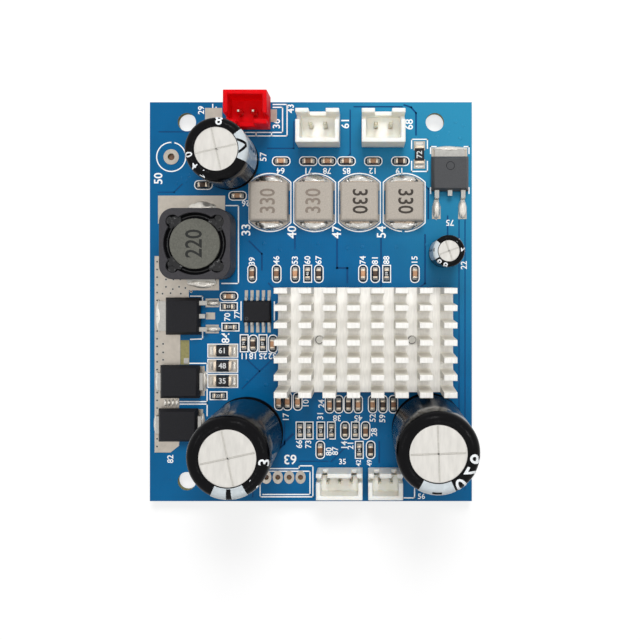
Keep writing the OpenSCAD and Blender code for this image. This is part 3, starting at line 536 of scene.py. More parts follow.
def plate(width, depth, radius=0.0):
    """A flat face with rounded corners."""
    bm = bmesh.new()
    bmesh.ops.create_grid(bm, x_segments=1, y_segments=1, size=0.5)
    bmesh.ops.scale(bm, vec=(width, depth, 1), verts=bm.verts[:])
    if radius:
        bmesh.ops.bevel(bm, geom=bm.verts[:], offset=radius, offset_type="OFFSET", affect="VERTICES",
                        segments=5, profile=0.5, material=-1)
    return bm


def disc(radius, segments=32, cut=None):
    """A flat round face, cut straight at x = cut on both sides."""
    bm = bmesh.new()
    bmesh.ops.create_circle(bm, cap_ends=True, segments=segments, radius=radius)
    for side in (-1, 1) if cut else ():
        bmesh.ops.bisect_plane(bm, geom=bm.verts[:] + bm.edges[:] + bm.faces[:], clear_outer=True,
                               plane_co=(side * cut, 0, 0), plane_no=(side, 0, 0))
    return bm


def rim(bm, line, height):
    """Leaves the rim of a flat face as a printed line."""
    made = bmesh.ops.inset_individual(bm, faces=bm.faces[:], thickness=line, use_even_offset=True)
    ring = set(made["faces"])
    bmesh.ops.delete(bm, geom=[f for f in bm.faces if f not in ring], context="FACES")
    return slab(bm, height)


def stroke(bm, points, width, z, height):
    """A line of that width through points in mm."""
    for a, b in zip(points, points[1:]):
        start, end = Vector(a) * MM, Vector(b) * MM
        run = end - start
        place = (start + end) / 2
        turn = math.degrees(math.atan2(run.y, run.x))
        bmesh.ops.create_cube(bm, size=1.0, matrix=at(place.x, place.y, z + height / 2, turn,
                                                      (run.length + width, width, height)))


def mound(bm, place, size, seed, rough=0.12):
    """A low drop of solder or glue on the plane of its place, with uneven sides."""
    made = bmesh.ops.create_uvsphere(bm, u_segments=18, v_segments=10, radius=0.5)["verts"]
    for v in made:
        drift = 1 + rough * noise.noise(v.co * 3 + Vector((seed * 7.3, seed * 1.7, seed)))
        v.co = Vector((v.co.x * size[0] * drift, v.co.y * size[1] * drift,
                       max(v.co.z, -0.02) * 2 * size[2] * drift))
    bmesh.ops.translate(bm, vec=place, verts=made)


NUMBER_SHAPES = {}


def number(bm, text, matrix, thick):
    """A plain number, 1 unit high, at a place."""
    if text not in NUMBER_SHAPES:
        curve = bpy.data.curves.new("number", "FONT")
        curve.body, curve.align_x, curve.align_y = text, "CENTER", "CENTER"
        curve.size, curve.resolution_u, curve.offset = 1.4, 3, 0.02
        writer = bpy.data.objects.new("number", curve)
        bpy.context.scene.collection.objects.link(writer)
        bpy.context.view_layer.update()
        NUMBER_SHAPES[text] = bpy.data.meshes.new_from_object(
            writer.evaluated_get(bpy.context.evaluated_depsgraph_get()))
        bpy.data.objects.remove(writer)
    digits = bmesh.new()
    digits.from_mesh(NUMBER_SHAPES[text])
    bmesh.ops.transform(digits, matrix=matrix, verts=digits.verts[:])
    stamp(bm, slab(digits, thick), Matrix())


# Circuit board


# Gaps between copper areas show as darker lines under the mask: points in mm and width in mm
MASK_GAPS = (
    ([(26.0, 14.3), (26.0, -19.0)], 0.2), ([(27.05, 14.3), (27.05, -33.0)], 0.2),
    ([(4.6, 12.0), (4.6, 5.9), (6.4, 5.9), (6.4, 3.4)], 0.35), ([(12.32, 11.7), (12.32, 2.8)], 0.3),
    ([(20.04, 11.7), (20.04, 3.2), (19.2, 2.6)], 0.3), ([(-2.8, 11.6), (-2.8, 9.3)], 0.3),
    ([(16.4, 34.5), (17.6, 34.1), (18.45, 33.1), (18.45, 29.3)], 0.3),
    ([(6.9, 33.6), (6.9, 25.9), (6.4, 25.4)], 0.22), ([(7.6, 34.2), (16.0, 34.2)], 0.25),
    ([(19.0, 21.4), (20.6, 19.8), (20.6, 14.6)], 0.3), ([(24.0, 15.0), (24.0, 11.6)], 0.25),
    ([(-12.8, -8.6), (-9.0, -12.2), (-12.0, -15.2)], 0.25), ([(-9.0, -12.2), (-6.4, -9.8)], 0.25),
    ([(-6.2, -26.2), (-3.2, -23.3)], 0.45), ([(-6.9, -27.2), (-4.6, -25.0), (-4.6, -21.0)], 0.25),
    ([(3.6, -28.0), (6.0, -25.6)], 0.3), ([(12.0, -24.6), (12.0, -28.2)], 0.3),
    ([(-10.8, 10.6), (-8.6, 8.4), (-8.6, 5.6)], 0.3), ([(-7.4, 3.2), (-5.2, 1.0)], 0.3),
    ([(-12.0, 22.3), (-9.0, 22.3), (-7.4, 20.8)], 0.25), ([(-26.6, 29.8), (-21.0, 29.8)], 0.22),
    ([(-7.6, 26.9), (-3.0, 26.9), (-3.0, 31.6)], 0.22),
    ([(20.6, -17.4), (24.6, -17.4), (26.0, -19.0)], 0.25),
    ([(-26.8, 19.2), (-24.0, 19.2), (-22.6, 20.6)], 0.22), ([(-10.2, -27.6), (-10.2, -34.2)], 0.25),
    ([(-2.0, -28.0), (3.0, -28.0)], 0.22), ([(-19.0, -28.0), (-17.0, -30.0), (-17.0, -34.0)], 0.25),
)
# Tented vias are low bumps under the mask
TENTED_VIAS = (
    (26.8, 30.9), (26.2, 28.6), (24.3, 29.6), (22.1, 29.1), (25.4, 31.6), (-21.4, 22.2), (-22.8, 21.7),
    (-23.6, 20.8), (-21.9, 21.2), (-24.2, 27.9), (-26.0, 27.0), (-14.8, -5.6), (-11.2, -13.8),
    (-7.9, -14.6), (20.4, 10.0), (6.4, 9.4), (14.9, 9.6), (1.2, 10.2), (-8.2, 10.2), (-5.4, 9.1),
    (26.6, -24.8), (-6.2, -12.6), (17.2, -30.6), (-24.6, -31.0), (22.6, 3.6), (-12.6, -26.8),
    (3.0, -24.2), (13.4, -23.6), (16.2, 12.2), (9.0, 9.6),
)
# Open vias in the tinned area by the west edge
OPEN_VIAS = (
    *((-26.95, 7.0 - 1.35 * i) for i in range(25)), (-25.9, -7.4), (-25.9, -8.9), (-25.9, -10.2),
    (-25.9, -11.2), (-25.4, 3.9), (-24.1, 3.9), (-22.9, 3.9), (-25.4, 2.6), (-24.2, 2.2), (-23.1, 2.6),
    (-22.0, 2.4), (-21.0, 1.8), (-24.6, 1.5), (-22.8, 1.4), (-26.0, 5.2), (-26.0, 1.4),
)
# Holes without a lead: the spare header and the test point
SPARE_HOLES = [(-7.8 + 2.0 * i, -30.8) for i in range(4)]
TEST_POINT = (-24.5, 25.4)
# By the transistor the board has a strip without mask or copper, and a pad: name, finish, slot, then size,
# corner, height and place in mm
BARE_PATCHES = (
    ("bare_laminate_strip", "bare_laminate", "laminate", (1.55, 4.3), 0.1, 0.02, (-22.1, -8.9)),
    ("bare_laminate_pad", "tin_plate", "tin", (0.85, 1.0), 0.05, 0.06, (-21.85, -10.4)),
)


class AMPLIFIER_OT_circuit_board(bpy.types.Operator):
    """Mask, copper gaps, vias and bare laminate of the board"""
    bl_idname = "amplifier.circuit_board"
    bl_label = "Circuit board"

    def execute(self, context):
        paint("circuit_board", "solder_mask_on_laminate")
        bm = bmesh.new()
        for points, width in MASK_GAPS:
            stroke(bm, points, width * MM, TOP, FILM)
        keep("mask_gaps", bm, ["solder_mask_gap"])
        bm = bmesh.new()
        for seed, (x, y) in enumerate(TENTED_VIAS):
            mound(bm, (x * MM, y * MM, TOP), (0.7 * MM, 0.7 * MM, 0.05 * MM), seed, 0.05)
        keep("tented_vias", bm, ["solder_mask_on_laminate"])
        bm = bmesh.new()
        ring = rim(disc(0.24 * MM, 12), 0.09 * MM, 0.025 * MM)
        # Each via gets a dark disc of painted shade where its hole is
        painted_hole_shade = slab(disc(0.15 * MM, 12), 0.006 * MM)
        for x, y in OPEN_VIAS:
            stamp(bm, ring, at(x * MM, y * MM, SEAT))
            stamp(bm, painted_hole_shade, at(x * MM, y * MM, SEAT), 1)
        keep("open_vias", bm, ["tin_plate", "hole_shadow"])
        for name, material, slot, (wide, deep), corner, height, (x, y) in BARE_PATCHES:
            bm = bmesh.new()
            stamp(bm, slab(plate(wide * MM, deep * MM, corner * MM), height * MM), at(x * MM, y * MM))
            keep(name, bm, [material])
        # A brown glassy plug sunk 0.55 mm into each hole without a lead
        bm = bmesh.new()
        for x, y in (*SPARE_HOLES, TEST_POINT):
            mound(bm, (x * MM, y * MM, TOP - 0.55 * MM), (1.1 * MM, 1.1 * MM, -0.12 * MM), int(x), 0.05)
        outward(bm)
        keep("hole_flux", bm, ["rosin_flux"], 60)
        return {"FINISHED"}


# Solder


# Three drops run together at an inductor's end: shift as a share of the width, and share of the full drop
BOOST_DROPS = ((-0.3, 0.6), (0.0, 1.0), (0.33, 0.55))
# The same at an output inductor, with the shift in mm
OUTPUT_DROPS = ((-1.5, 0.5), (0.0, 1.0), (1.45, 0.45))
# Lumps on the strip between the diodes, in mm
STRIP_LUMPS = (-25.5, -24.85, -24.15, -23.5)
# Solder at the leads and tabs: node, side of its box in x and y, shift and size in mm
TAB_DROPS = (
    ("regulator_leadframe", -1, -1, (0.38, 1.35), (1.45, 3.6, 0.8)),
    ("regulator_leadframe", 1, -1, (-0.38, 1.35), (1.45, 3.6, 0.8)),
    ("regulator_leadframe", 0, 1, (0, 0), (5.9, 1.1, 0.6)),
    ("switch_transistor_leadframe", 1, -1, (-0.55, 0.38), (2.6, 1.2, 0.8)),
    ("switch_transistor_leadframe", 1, 1, (-0.55, -0.38), (2.6, 1.2, 0.8)),
    ("switch_transistor_leadframe", -1, 0, (0, 0), (1.1, 5.9, 0.6)),
)


class AMPLIFIER_OT_tin_and_solder(bpy.types.Operator):
    """Tinned areas, solder at the large terminals, and joints on the underside"""
    bl_idname = "amplifier.tin_and_solder"
    bl_label = "Tin and solder"

    def execute(self, context):
        tin, solder = "levelled_tin", "bright_solder"
        paint("tinned_copper", tin)
        # The pads of the spare header are oval
        bm = bmesh.new()
        oval = rim(disc(1.0 * MM, 32), 0.48 * MM, SEAT - TOP + FILM)
        for x, y in SPARE_HOLES:
            stamp(bm, oval, at(x * MM, y * MM, TOP, 0, (0.89, 1.14, 1)))
        keep("spare_header_pads", bm, [tin])
        # Bright joints at the output inductors, dull ones elsewhere
        bright, dull = bmesh.new(), bmesh.new()
        seeds = itertools.count(1)

        def drop(bm, x, y, size, rough):
            """One drop, with its place in metres and its size in mm."""
            mound(bm, (x, y, SEAT - SINK), [extent * MM for extent in size], next(seeds), rough)

        low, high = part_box("boost_inductor_terminals")
        for y, wide, deep, tall in ((high.y, 4.6, 2.0, 0.75), (low.y, 4.8, 1.7, 0.65)):
            for shift, share in BOOST_DROPS:
                drop(dull, (low.x + high.x) / 2 + shift * wide * MM, y,
                     (wide * 0.8 * share, deep * share, tall * share), 0.2)
        for x in STRIP_LUMPS:
            drop(dull, x * MM, -17.75 * MM, (0.62, 1.25, 0.22), 0.25)
        for i in range(1, 5):
            low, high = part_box("output_inductor_terminals_%d" % i)
            for y in (low.y - 0.1 * MM, high.y + 0.1 * MM):
                for shift, share in OUTPUT_DROPS:
                    drop(bright, (low.x + high.x) / 2 + shift * MM, y,
                         (4.4 * share, 2.3 * share, 0.7 * share), 0.2)
        for node, x, y, shift, size in TAB_DROPS:
            low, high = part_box(node)
            mid, half = (low + high) / 2, (high - low) / 2
            drop(dull, mid.x + x * half.x + shift[0] * MM, mid.y + y * half.y + shift[1] * MM, size, 0.15)
        for name in ("upper", "lower"):
            low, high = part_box("rectifier_diode_%s_terminals" % name)
            for x in (low.x - 0.15 * MM, high.x + 0.15 * MM):
                drop(dull, x, (low.y + high.y) / 2, (0.9, 3.6, 0.6), 0.25)
        for name, bm, look in (("inductor_solder", bright, solder), ("terminal_solder", dull, "dull_solder")):
            outward(bm)
            keep(name, bm, [look], 60)
        smooth_copy("solder_joints", [solder])
        # Rings round the joints on the underside
        bm = bmesh.new()
        ring = slab(disc(1.15 * MM, 24), -0.04 * MM)
        for low, high in islands("solder_joints"):
            stamp(bm, ring, at((low.x + high.x) / 2, (low.y + high.y) / 2, BOARD_LOW.z))
        keep("underside_rings", bm, [tin])
        return {"FINISHED"}


# Legend


# Printed open lines in mm: tab packages, diodes, inductor, controller, headers
LEGEND_LINES = (
    [(17.68, 26.9), (17.68, 28.48), (20.45, 28.48), (20.45, 26.9)],
    [(17.68, 24.6), (17.68, 22.85), (20.45, 22.85), (20.45, 24.6)],
    [(-21.25, -10.82), (-18.2, -10.82), (-18.2, -12.71)],
    [(-18.2, -15.4), (-18.2, -17.54), (-22.94, -17.54)],
    [(-22.94, -17.97), (-18.2, -17.97), (-18.2, -19.99)], [(-21.1, 0.96), (-19.0, 0.96), (-19.0, -0.1)],
    [(-19.0, -4.9), (-19.0, -6.54), (-21.1, -6.6)],
    [(-14.87, 16.85), (-12.7, 16.85), (-12.7, 3.2), (-15.6, 3.2)], [(-12.24, -0.04), (-12.24, -3.2)],
    [(-6.4, -0.04), (-6.4, -3.2)],
    [(-17.22, 34.6), (-17.22, 29.08), (-4.17, 29.08), (-4.17, 34.6), (-6.6, 34.6)],
    [(-16.62, 34.1), (-16.62, 29.69), (-4.96, 29.69), (-4.96, 34.1), (-6.6, 34.1)],
    [(-11.62, 29.69), (-11.62, 29.08)], [(-9.61, 29.69), (-9.61, 29.08)],
    [(-6.89, 29.69), (-6.89, 29.08)],
    [(-8.9, -34.24), (0.36, -34.24), (0.36, -28.8), (-2.06, -28.8), (-2.06, -29.29), (-8.9, -29.29),
     (-8.9, -34.24)],
    [(-8.4, -33.83), (-0.15, -33.83), (-0.15, -29.75), (-8.4, -29.75)],
    [(16.36, -34.43), (18.2, -34.43), (18.2, -32.85)], [(21.0, 26.0), (21.0, 27.2), (21.97, 27.2)],
    [(26.9, 27.2), (27.75, 27.2), (27.75, 26.0)], [(21.0, 20.0), (21.0, 19.0)],
    [(27.75, 20.0), (27.75, 19.0)], [(-5.5, -21.62), (-5.5, -24.96)],
)
# Plain numbers beside the parts: place in mm, turn in degrees, height as a share of the usual digit
LEGEND_NUMBERS = (
    (-0.83, -17.9, 90, 1), (-4.34, -20.3, 90, 1), (1.9, -17.9, 90, 1), (1.7, -20.0, 90, 1),
    (4.6, -20.4, 180, 1), (8.29, -20.4, 180, 1), (10.9, -20.4, 90, 1), (12.6, -20.5, 90, 1),
    (-2.0, -25.0, 90, 1), (-0.4, -25.0, 90, 1), (3.2, -26.3, 90, 1), (4.3, -26.2, 90, 1),
    (5.9, -25.2, 90, 1), (7.0, -25.2, 90, 1), (11.15, -22.9, 90, 1), (5.55, -28.1, 0, 0.9),
    (8.4, -28.3, 90, 0.8), (10.3, -28.3, 90, 0.8), (19.4, -34.2, 0, 0.9), (-3.64, -27.6, 180, 1.6),
    (-14.6, -2.7, 90, 1), (-12.9, -2.3, 90, 0.9), (-14.9, -6.35, 90, 1.3), (-11.7, -9.5, 180, 1),
    (-10.1, -9.5, 180, 1), (-8.4, -9.5, 180, 1), (-6.75, -9.5, 180, 1), (-10.3, 7.1, 90, 1),
    (-6.0, 7.3, 90, 1), (-2.75, 7.3, 90, 1), (-0.55, 7.3, 90, 1), (1.4, 7.3, 90, 1), (9.15, 7.3, 90, 1),
    (11.3, 7.3, 90, 1), (13.3, 7.3, 90, 1), (18.25, 7.3, 90, 1), (26.9, 6.4, 90, 1),
    (-19.2, 33.6, 90, 1), (-5.98, 31.2, 90, 1.2), (-3.5, 33.9, 90, 1.1), (-26.7, 21.6, 90, 1.4),
    (-8.3, 25.4, 90, 1.1), (-5.3, 23.0, 180, 1), (-0.5, 23.0, 180, 1), (2.85, 23.0, 180, 1),
    (6.25, 23.0, 180, 1), (10.9, 23.0, 180, 1), (15.6, 23.0, 180, 1), (-11.4, 17.3, 180, 1),
    (-11.3, 12.6, 90, 1.5), (-3.25, 12.2, 90, 1.5), (4.6, 12.2, 90, 1.5), (12.45, 12.2, 90, 1.5),
    (6.1, 31.3, 90, 1.3), (17.3, 31.1, 90, 1.3), (24.4, 13.9, 180, 1), (-24.6, -27.6, 90, 1),
)


# Printed outline of each kind of chip part in mm: length, width and corner
CHIP_OUTLINES = {"capacitor": (3.25, 1.68, 0.75), "resistor": (3.15, 1.54, 0.0), "large": (5.4, 2.45, 0.0)}
# A chip part: middle, half its length and half its width in metres, turn in degrees, kind, and top
Chip = namedtuple("Chip", "mid half wide turn kind top")


def chips():
    """Every chip part on the board."""
    found = []
    for node, kind in (("chip_capacitors", "capacitor"), ("chip_resistors", "resistor")):
        for low, high in islands(node):
            size, mid = high - low, (low + high) / 2
            body, wide = max(size.x, size.y), min(size.x, size.y)
            large = wide > 1.2 * MM
            # The body lies between its two end bands
            whole = body / (1 - 2 * (0.16 if large else 0.22))
            turn = 0 if size.x > size.y else 90
            found.append(Chip(mid, whole / 2, wide / 2, turn, "large" if large else kind, high.z))
    return found


class AMPLIFIER_OT_legend(bpy.types.Operator):
    """White printed lines, rings and plain numbers"""
    bl_idname = "amplifier.legend"
    bl_label = "Legend"

    def execute(self, context):
        look = context.scene.board_look
        ink = "legend_ink"
        line, high = look.line, look.ink
        # The mask inside the outline of a chip is darkened with painted shade
        printed, dark = bmesh.new(), bmesh.new()
        rims, shade_patches = {}, {}
        for kind, (wide, deep, corner) in CHIP_OUTLINES.items():
            rims[kind] = rim(plate(wide * MM, deep * MM, corner * MM), 0.85 * line, high)
            shade_patches[kind] = slab(plate((wide - 0.2) * MM, (deep - 0.2) * MM, corner * MM), 0.014 * MM)
        for chip in chips():
            if chip.kind == "large" and chip.turn == 90:
                continue
            place = at(chip.mid.x, chip.mid.y, TOP, chip.turn)
            stamp(printed, rims[chip.kind], place)
            stamp(dark, shade_patches[chip.kind], place)
        keep("legend_chip_outlines", printed, [ink])
        keep("chip_mask_gaps", dark, ["flux_stained_mask"])
        bm = bmesh.new()
        ring = rim(disc(5.2 * MM, 64, 3.77 * MM), line, high)
        for i in range(1, 5):
            mid = middle("output_inductor_%d" % i)
            stamp(bm, ring, at(mid.x, mid.y))
        stamp(bm, rim(disc(2.65 * MM, 48), line, high), at(TEST_POINT[0] * MM, TEST_POINT[1] * MM))
        keep("legend_rings", bm, [ink])
        bm = bmesh.new()
        for points in LEGEND_LINES:
            stroke(bm, points, line, TOP, high)
        keep("legend_lines", bm, [ink])
        bm = bmesh.new()
        for i, (x, y, turn, share) in enumerate(LEGEND_NUMBERS):
            size = look.digit * share
            number(bm, str(10 + (i * 7) % 80), at(x * MM, y * MM, TOP, turn, (size, size, 1)), high)
        keep("legend_numbers", bm, [ink])
        return {"FINISHED"}


# Heatsink


class AMPLIFIER_OT_heatsink(bpy.types.Operator):
    """Pin-fin heatsink with its screws, pad and chip"""
    bl_idname = "amplifier.heatsink"
    bl_label = "Heatsink"

    def execute(self, context):
        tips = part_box("heatsink")[1].z - 0.05 * MM
        steel = "zinc_plated_steel"
        metals = ["clear_anodised_aluminium", "sawn_aluminium"]
        rounded("heatsink", 0.09 * MM, metals, 2, tips, sharp=8.0)
        # Faces across the fins and the slot floors were sawn; the fin tips and other faces that look up take
        # the same duller colour as painted shade
        for face in bpy.data.objects["heatsink_rounded"].data.polygons:
            if abs(face.normal.x) > 0.7 or face.normal.z > 0.7:
                face.material_index = 1
        rounded("heatsink_screws", 0.08 * MM, [steel])
        # The end of each screw shines in its hole, a little off the middle, with a dark ring of painted
        # shadow round it
        bm = bmesh.new()
        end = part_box("heatsink_screws")[1].z
        edge, nub = rim(disc(0.68 * MM), 0.1 * MM, 0.015 * MM), slab(disc(0.58 * MM), 0.14 * MM)
        for low, high in islands("heatsink_screws"):
            mid = (low + high) / 2
            stamp(bm, edge, at(mid.x, mid.y, end), 1)
            stamp(bm, nub, at(mid.x + 0.06 * MM, mid.y + 0.04 * MM, end))
        keep("screw_ends", bm, [steel, "hole_shadow"])
        paint("thermal_pad", "filled_silicone")
        paint("amplifier_chip", "black_mould_compound")
        paint("amplifier_chip_leads", "tin_plate")
        return {"FINISHED"}


# Capacitors


# Capacitor, heading of its strip, half its spread, and how it is marked
STRIPS = (
    ("bulk_capacitor_left", -88, 27, "bar"), ("bulk_capacitor_right", -92, 27, "dash"),
    ("supply_capacitor", 8, 31, "chevron"), ("bias_capacitor", 176, 36, "dash"),
)
# Turn of the cross pressed into each can top
SCORES = (
    ("bulk_capacitor_left", 12), ("bulk_capacitor_right", 2),
    ("supply_capacitor", 13), ("bias_capacitor", 20),
)
# Each arm of a cross is a darker strip of painted shade for the groove and a raised bright lip: shift aside
# and up in mm, length as a share of the can, width and thickness in mm
SCORE_ARMS = ((-0.02, -0.085, 0.67, 0.24, 0.06), (-0.2, 0.02, 0.66, 0.1, 0.04))
# Marks at the lip of a strip: half the spread in degrees, start and end as shares of the lip, and slant in
# degrees
LIP_MARKS = {
    "bar": ((4, 0.05, 1.1, 0),),
    "dash": ((7, 0.72, 0.97, 0),),
    "chevron": ((3.6, 0.02, 0.95, -16), (3.6, 0.02, 0.95, 16)),
}
# Shares of a sleeve's radius: where its print starts, its rounded shoulder, its lip, and its bare foot
PRINT_START, SHOULDER, LIP, BARE_FOOT = 0.705, 0.16, 0.29, 0.62
# How far the strip, and the ink on it, stand off the sleeve
STRIP_OFF, INK_OFF = 0.015 * MM, 0.03 * MM
# Plain numbers on the sleeves: capacitor, number, heading, height as a share of the can's radius
SLEEVE_NUMBERS = (
    ("bulk_capacitor_left", "3", -6, 0.28), ("bulk_capacitor_left", "1", -44, 0.28),
    ("bulk_capacitor_right", "6", -8, 0.36), ("bulk_capacitor_right", "2", -31, 0.36),
    ("bulk_capacitor_right", "0", -54, 0.36), ("supply_capacitor", "8", 84, 0.32),
    ("supply_capacitor", "0", 192, 0.24), ("supply_capacitor", "4", 218, 0.24),
    ("supply_capacitor", "7", 243, 0.24), ("bias_capacitor", "6", 228, 0.42),
    ("bias_capacitor", "8", 256, 0.42), ("bias_capacitor", "2", 5, 0.4),
    ("bias_capacitor", "1", 48, 0.4),
)


def sleeve_side(node, lift_off):
    """Outline of a sleeve from its lip down to above the crimp: radius and height, and the axis."""
    low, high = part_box(node + "_sleeve")
    axis = (low + high) / 2
    reach = (high.x - low.x) / 2
    shoulder = SHOULDER * reach
    top = high.z + lift_off
    points = [(PRINT_START * reach, top), (reach - shoulder, top)]
    for step in range(1, 7):
        turn = math.radians(15 * step)
        points.append((reach - shoulder + (shoulder + lift_off) * math.sin(turn),
                       top - shoulder - lift_off + (shoulder + lift_off) * math.cos(turn)))
    points.append((reach + lift_off, low.z + BARE_FOOT * reach))
    return points, axis


def along_side(points, distance):
    """Point of an outline at a distance from its start."""
    for a, b in zip(points, points[1:]):
        run = math.hypot(b[0] - a[0], b[1] - a[1])
        if distance <= run:
            share = distance / run
            return a[0] + (b[0] - a[0]) * share, a[1] + (b[1] - a[1]) * share
        distance -= run
    return points[-1]


def wrap(bm, node, lift_off, heading):
    """Lays a flat mesh on a sleeve as a film: x turns round the can in degrees, y runs down from the lip."""
    points, axis = sleeve_side(node, lift_off)
    for v in bm.verts:
        reach, high = along_side(points, max(0.0, v.co.y))
        turn = math.radians(heading + v.co.x)
        v.co = Vector((axis.x + reach * math.cos(turn), axis.y + reach * math.sin(turn), high))
    # Downwards and round turns the faces inwards
    bmesh.ops.reverse_faces(bm, faces=bm.faces[:])
    bm.normal_update()
    bmesh.ops.solidify(bm, geom=bm.faces[:], thickness=FILM)


def film(bm, node, heading, spread, start, end, lift_off, slant=0.0):
    """A patch of print on a sleeve; start and end are distances from the lip."""
    patch = bmesh.new()
    bmesh.ops.create_grid(patch, x_segments=max(2, int(spread / 3)), y_segments=40, size=0.5)
    for v in patch.verts:
        share = v.co.y + 0.5
        v.co = Vector((2 * spread * v.co.x + slant * (1 - share), start + (end - start) * share, 0))
    wrap(patch, node, lift_off, heading)
    stamp(bm, shape(patch), Matrix())


class AMPLIFIER_OT_capacitors(bpy.types.Operator):
    """Electrolytic capacitors with their sleeves, strips and marks"""
    bl_idname = "amplifier.capacitors"
    bl_label = "Capacitors"

    def execute(self, context):
        can = "drawn_aluminium"
        for node, heading, spread, style in STRIPS:
            paint(node + "_can", can)
            smooth_copy(node + "_sleeve", ["shrink_film"], 45)
            paint(node + "_bung", "butyl_rubber")
            paint(node + "_leads", "tin_plate")
            low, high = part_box(node + "_sleeve")
            reach = (high.x - low.x) / 2
            lip, step = LIP * reach, BARE_FOOT * reach
            whole = lip + (high.z - low.z) - step
            bm = bmesh.new()
            film(bm, node, heading, spread, 0, whole, STRIP_OFF)
            keep(node + "_strip", bm, ["strip_ink"], 60)
            bm = bmesh.new()
            for half, start, end, slant in LIP_MARKS[style]:
                film(bm, node, heading, half, start * lip, end * lip, INK_OFF, slant)
            # Dashes down the strip
            for i in range(1, int(whole / step)):
                film(bm, node, heading, 4, (i + 0.55) * step, (i + 1.0) * step, INK_OFF)
            keep(node + "_strip_marks", bm, ["mark_ink"], 60)
        bm = bmesh.new()
        for node, cross in SCORES:
            low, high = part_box(node + "_can")
            for turn in (cross, cross + 90):
                way = at((low.x + high.x) / 2, (low.y + high.y) / 2, high.z, turn)
                for index, (aside, up, share, wide, thick) in enumerate(SCORE_ARMS):
                    arm = Matrix.Diagonal((share * (high.x - low.x), wide * MM, thick * MM, 1))
                    place = way @ Matrix.Translation((0, aside * MM, up * MM)) @ arm
                    made = bmesh.ops.create_cube(bm, size=1.0, matrix=place)["verts"]
                    for face in {f for v in made for f in v.link_faces}:
                        face.material_index = index
        keep("can_scores", bm, ["pressed_aluminium", can])
        bm = bmesh.new()
        for node, text, heading, share in SLEEVE_NUMBERS:
            low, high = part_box(node + "_sleeve")
            reach = (high.x - low.x) / 2
            size = share * reach
            # Only the upper faces of the digits are laid on the sleeve
            digits = bmesh.new()
            number(digits, text, Matrix.Diagonal((size, size, 1, 1)), 0.0001 * MM)
            others = [f for f in digits.faces if f.normal.z < 0.5]
            bmesh.ops.delete(digits, geom=others, context="FACES")
            down = max(0.15 * reach, 0.56 * size)
            for v in digits.verts:
                v.co = Vector((math.degrees(v.co.x / (0.85 * reach)), down + v.co.y, 0))
            wrap(digits, node, INK_OFF, heading)
            stamp(bm, shape(digits), Matrix())
        keep("sleeve_numbers", bm, ["pale_ink"], 60)
        return {"FINISHED"}


# Inductors


# Beads of glue in each corner of the shield: reach, size and drop below it in mm, turn aside in degrees
GLUE_BEADS = ((5.15, 2.6, 0.62, -2), (5.95, 1.6, 0.5, 3))
# Potting below the top of the shield in mm: at the walls, the extra dip between them, and its underside
POTTING_EDGE, POTTING_DIP, POTTING_FOOT = 0.75, 0.45, 1.6


class AMPLIFIER_OT_boost_inductor(bpy.types.Operator):
    """Shielded boost inductor with potting and glue"""
    bl_idname = "amplifier.boost_inductor"
    bl_label = "Boost inductor"

    def execute(self, context):
        low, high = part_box("boost_inductor_shield")
        core_low, core_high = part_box("boost_inductor_core")
        mid = (low + high) / 2
        edges_above = high.z - 0.05 * MM
        rounded("boost_inductor_shield", 0.4 * MM, ["sintered_ferrite"], 4, edges_above)
        rounded("boost_inductor_core", 0.15 * MM, ["ground_ferrite"], 2, edges_above)
        paint("boost_inductor_winding", "varnished_copper")
        paint("boost_inductor_terminals", "tin_plate")
        # Potting in the ring between drum and shield, dished between the two walls
        inner, outer = (core_high.x - core_low.x) / 2, (high.x - low.x) / 2 - 0.75 * MM
        bm = bmesh.new()
        side = []
        for i in range(7):
            drop = POTTING_EDGE + POTTING_DIP * math.sin(math.pi * i / 6)
            side.append(bm.verts.new((inner + (outer - inner) * i / 6, 0, high.z - drop * MM)))
        side += [bm.verts.new((reach, 0, high.z - POTTING_FOOT * MM)) for reach in (outer, inner)]
        edges = [bm.edges.new(pair) for pair in zip(side, side[1:] + side[:1])]
        bmesh.ops.spin(bm, geom=side + edges, cent=(0, 0, 0), axis=(0, 0, 1), angle=math.tau, steps=64,
                       use_merge=True)
        bmesh.ops.translate(bm, vec=(mid.x, mid.y, 0), verts=bm.verts[:])
        outward(bm)
        for i in range(4):
            for j, (reach, size, drop, aside) in enumerate(GLUE_BEADS):
                turn = math.radians(45 + 90 * i + aside)
                place = (mid.x + reach * MM * math.cos(turn), mid.y + reach * MM * math.sin(turn),
                         high.z - drop * MM)
                mound(bm, place, (size * MM, size * MM, 0.26 * MM), 40 + 5 * i + j, 0.4)
        keep("boost_inductor_potting", bm, ["black_potting"], 60)
        bm = bmesh.new()
        number(bm, "220", at(mid.x, mid.y, core_high.z, 90, (2.3 * MM, 2.8 * MM, 1)), FILM)
        keep("boost_inductor_number", bm, ["black_ink"])
        return {"FINISHED"}


class AMPLIFIER_OT_output_inductors(bpy.types.Operator):
    """Four moulded output inductors"""
    bl_idname = "amplifier.output_inductors"
    bl_label = "Output inductors"

    def execute(self, context):
        faint, strong = bmesh.new(), bmesh.new()
        for i in range(1, 5):
            node = "output_inductor_%d" % i
            mid, top = middle(node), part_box(node)[1].z
            rounded(node, 0.16 * MM, ["pressed_iron_powder"], 3, top - 0.6 * MM, 20)
            paint("output_inductor_terminals_%d" % i, "tinned_copper_strap")
            # The two on the left are printed fainter and read the other way
            bm, turn = (faint, 90) if i < 3 else (strong, -90)
            number(bm, "330", at(mid.x, mid.y, top, turn, (2.1 * MM, 2.6 * MM, 1)), FILM)
        keep("output_inductor_numbers_left", faint, ["faint_ink"])
        keep("output_inductor_numbers_right", strong, ["dark_ink"])
        return {"FINISHED"}


# Packages, headers and chip parts


# Black bodies, and every plated leadframe
BLACK_BODIES = (
    "switch_transistor_body", "rectifier_diode_upper", "rectifier_diode_lower", "boost_controller",
)
LEADFRAMES = (
    "regulator_leadframe", "switch_transistor_leadframe", "rectifier_diode_upper_terminals",
    "rectifier_diode_lower_terminals", "boost_controller_leads",
)
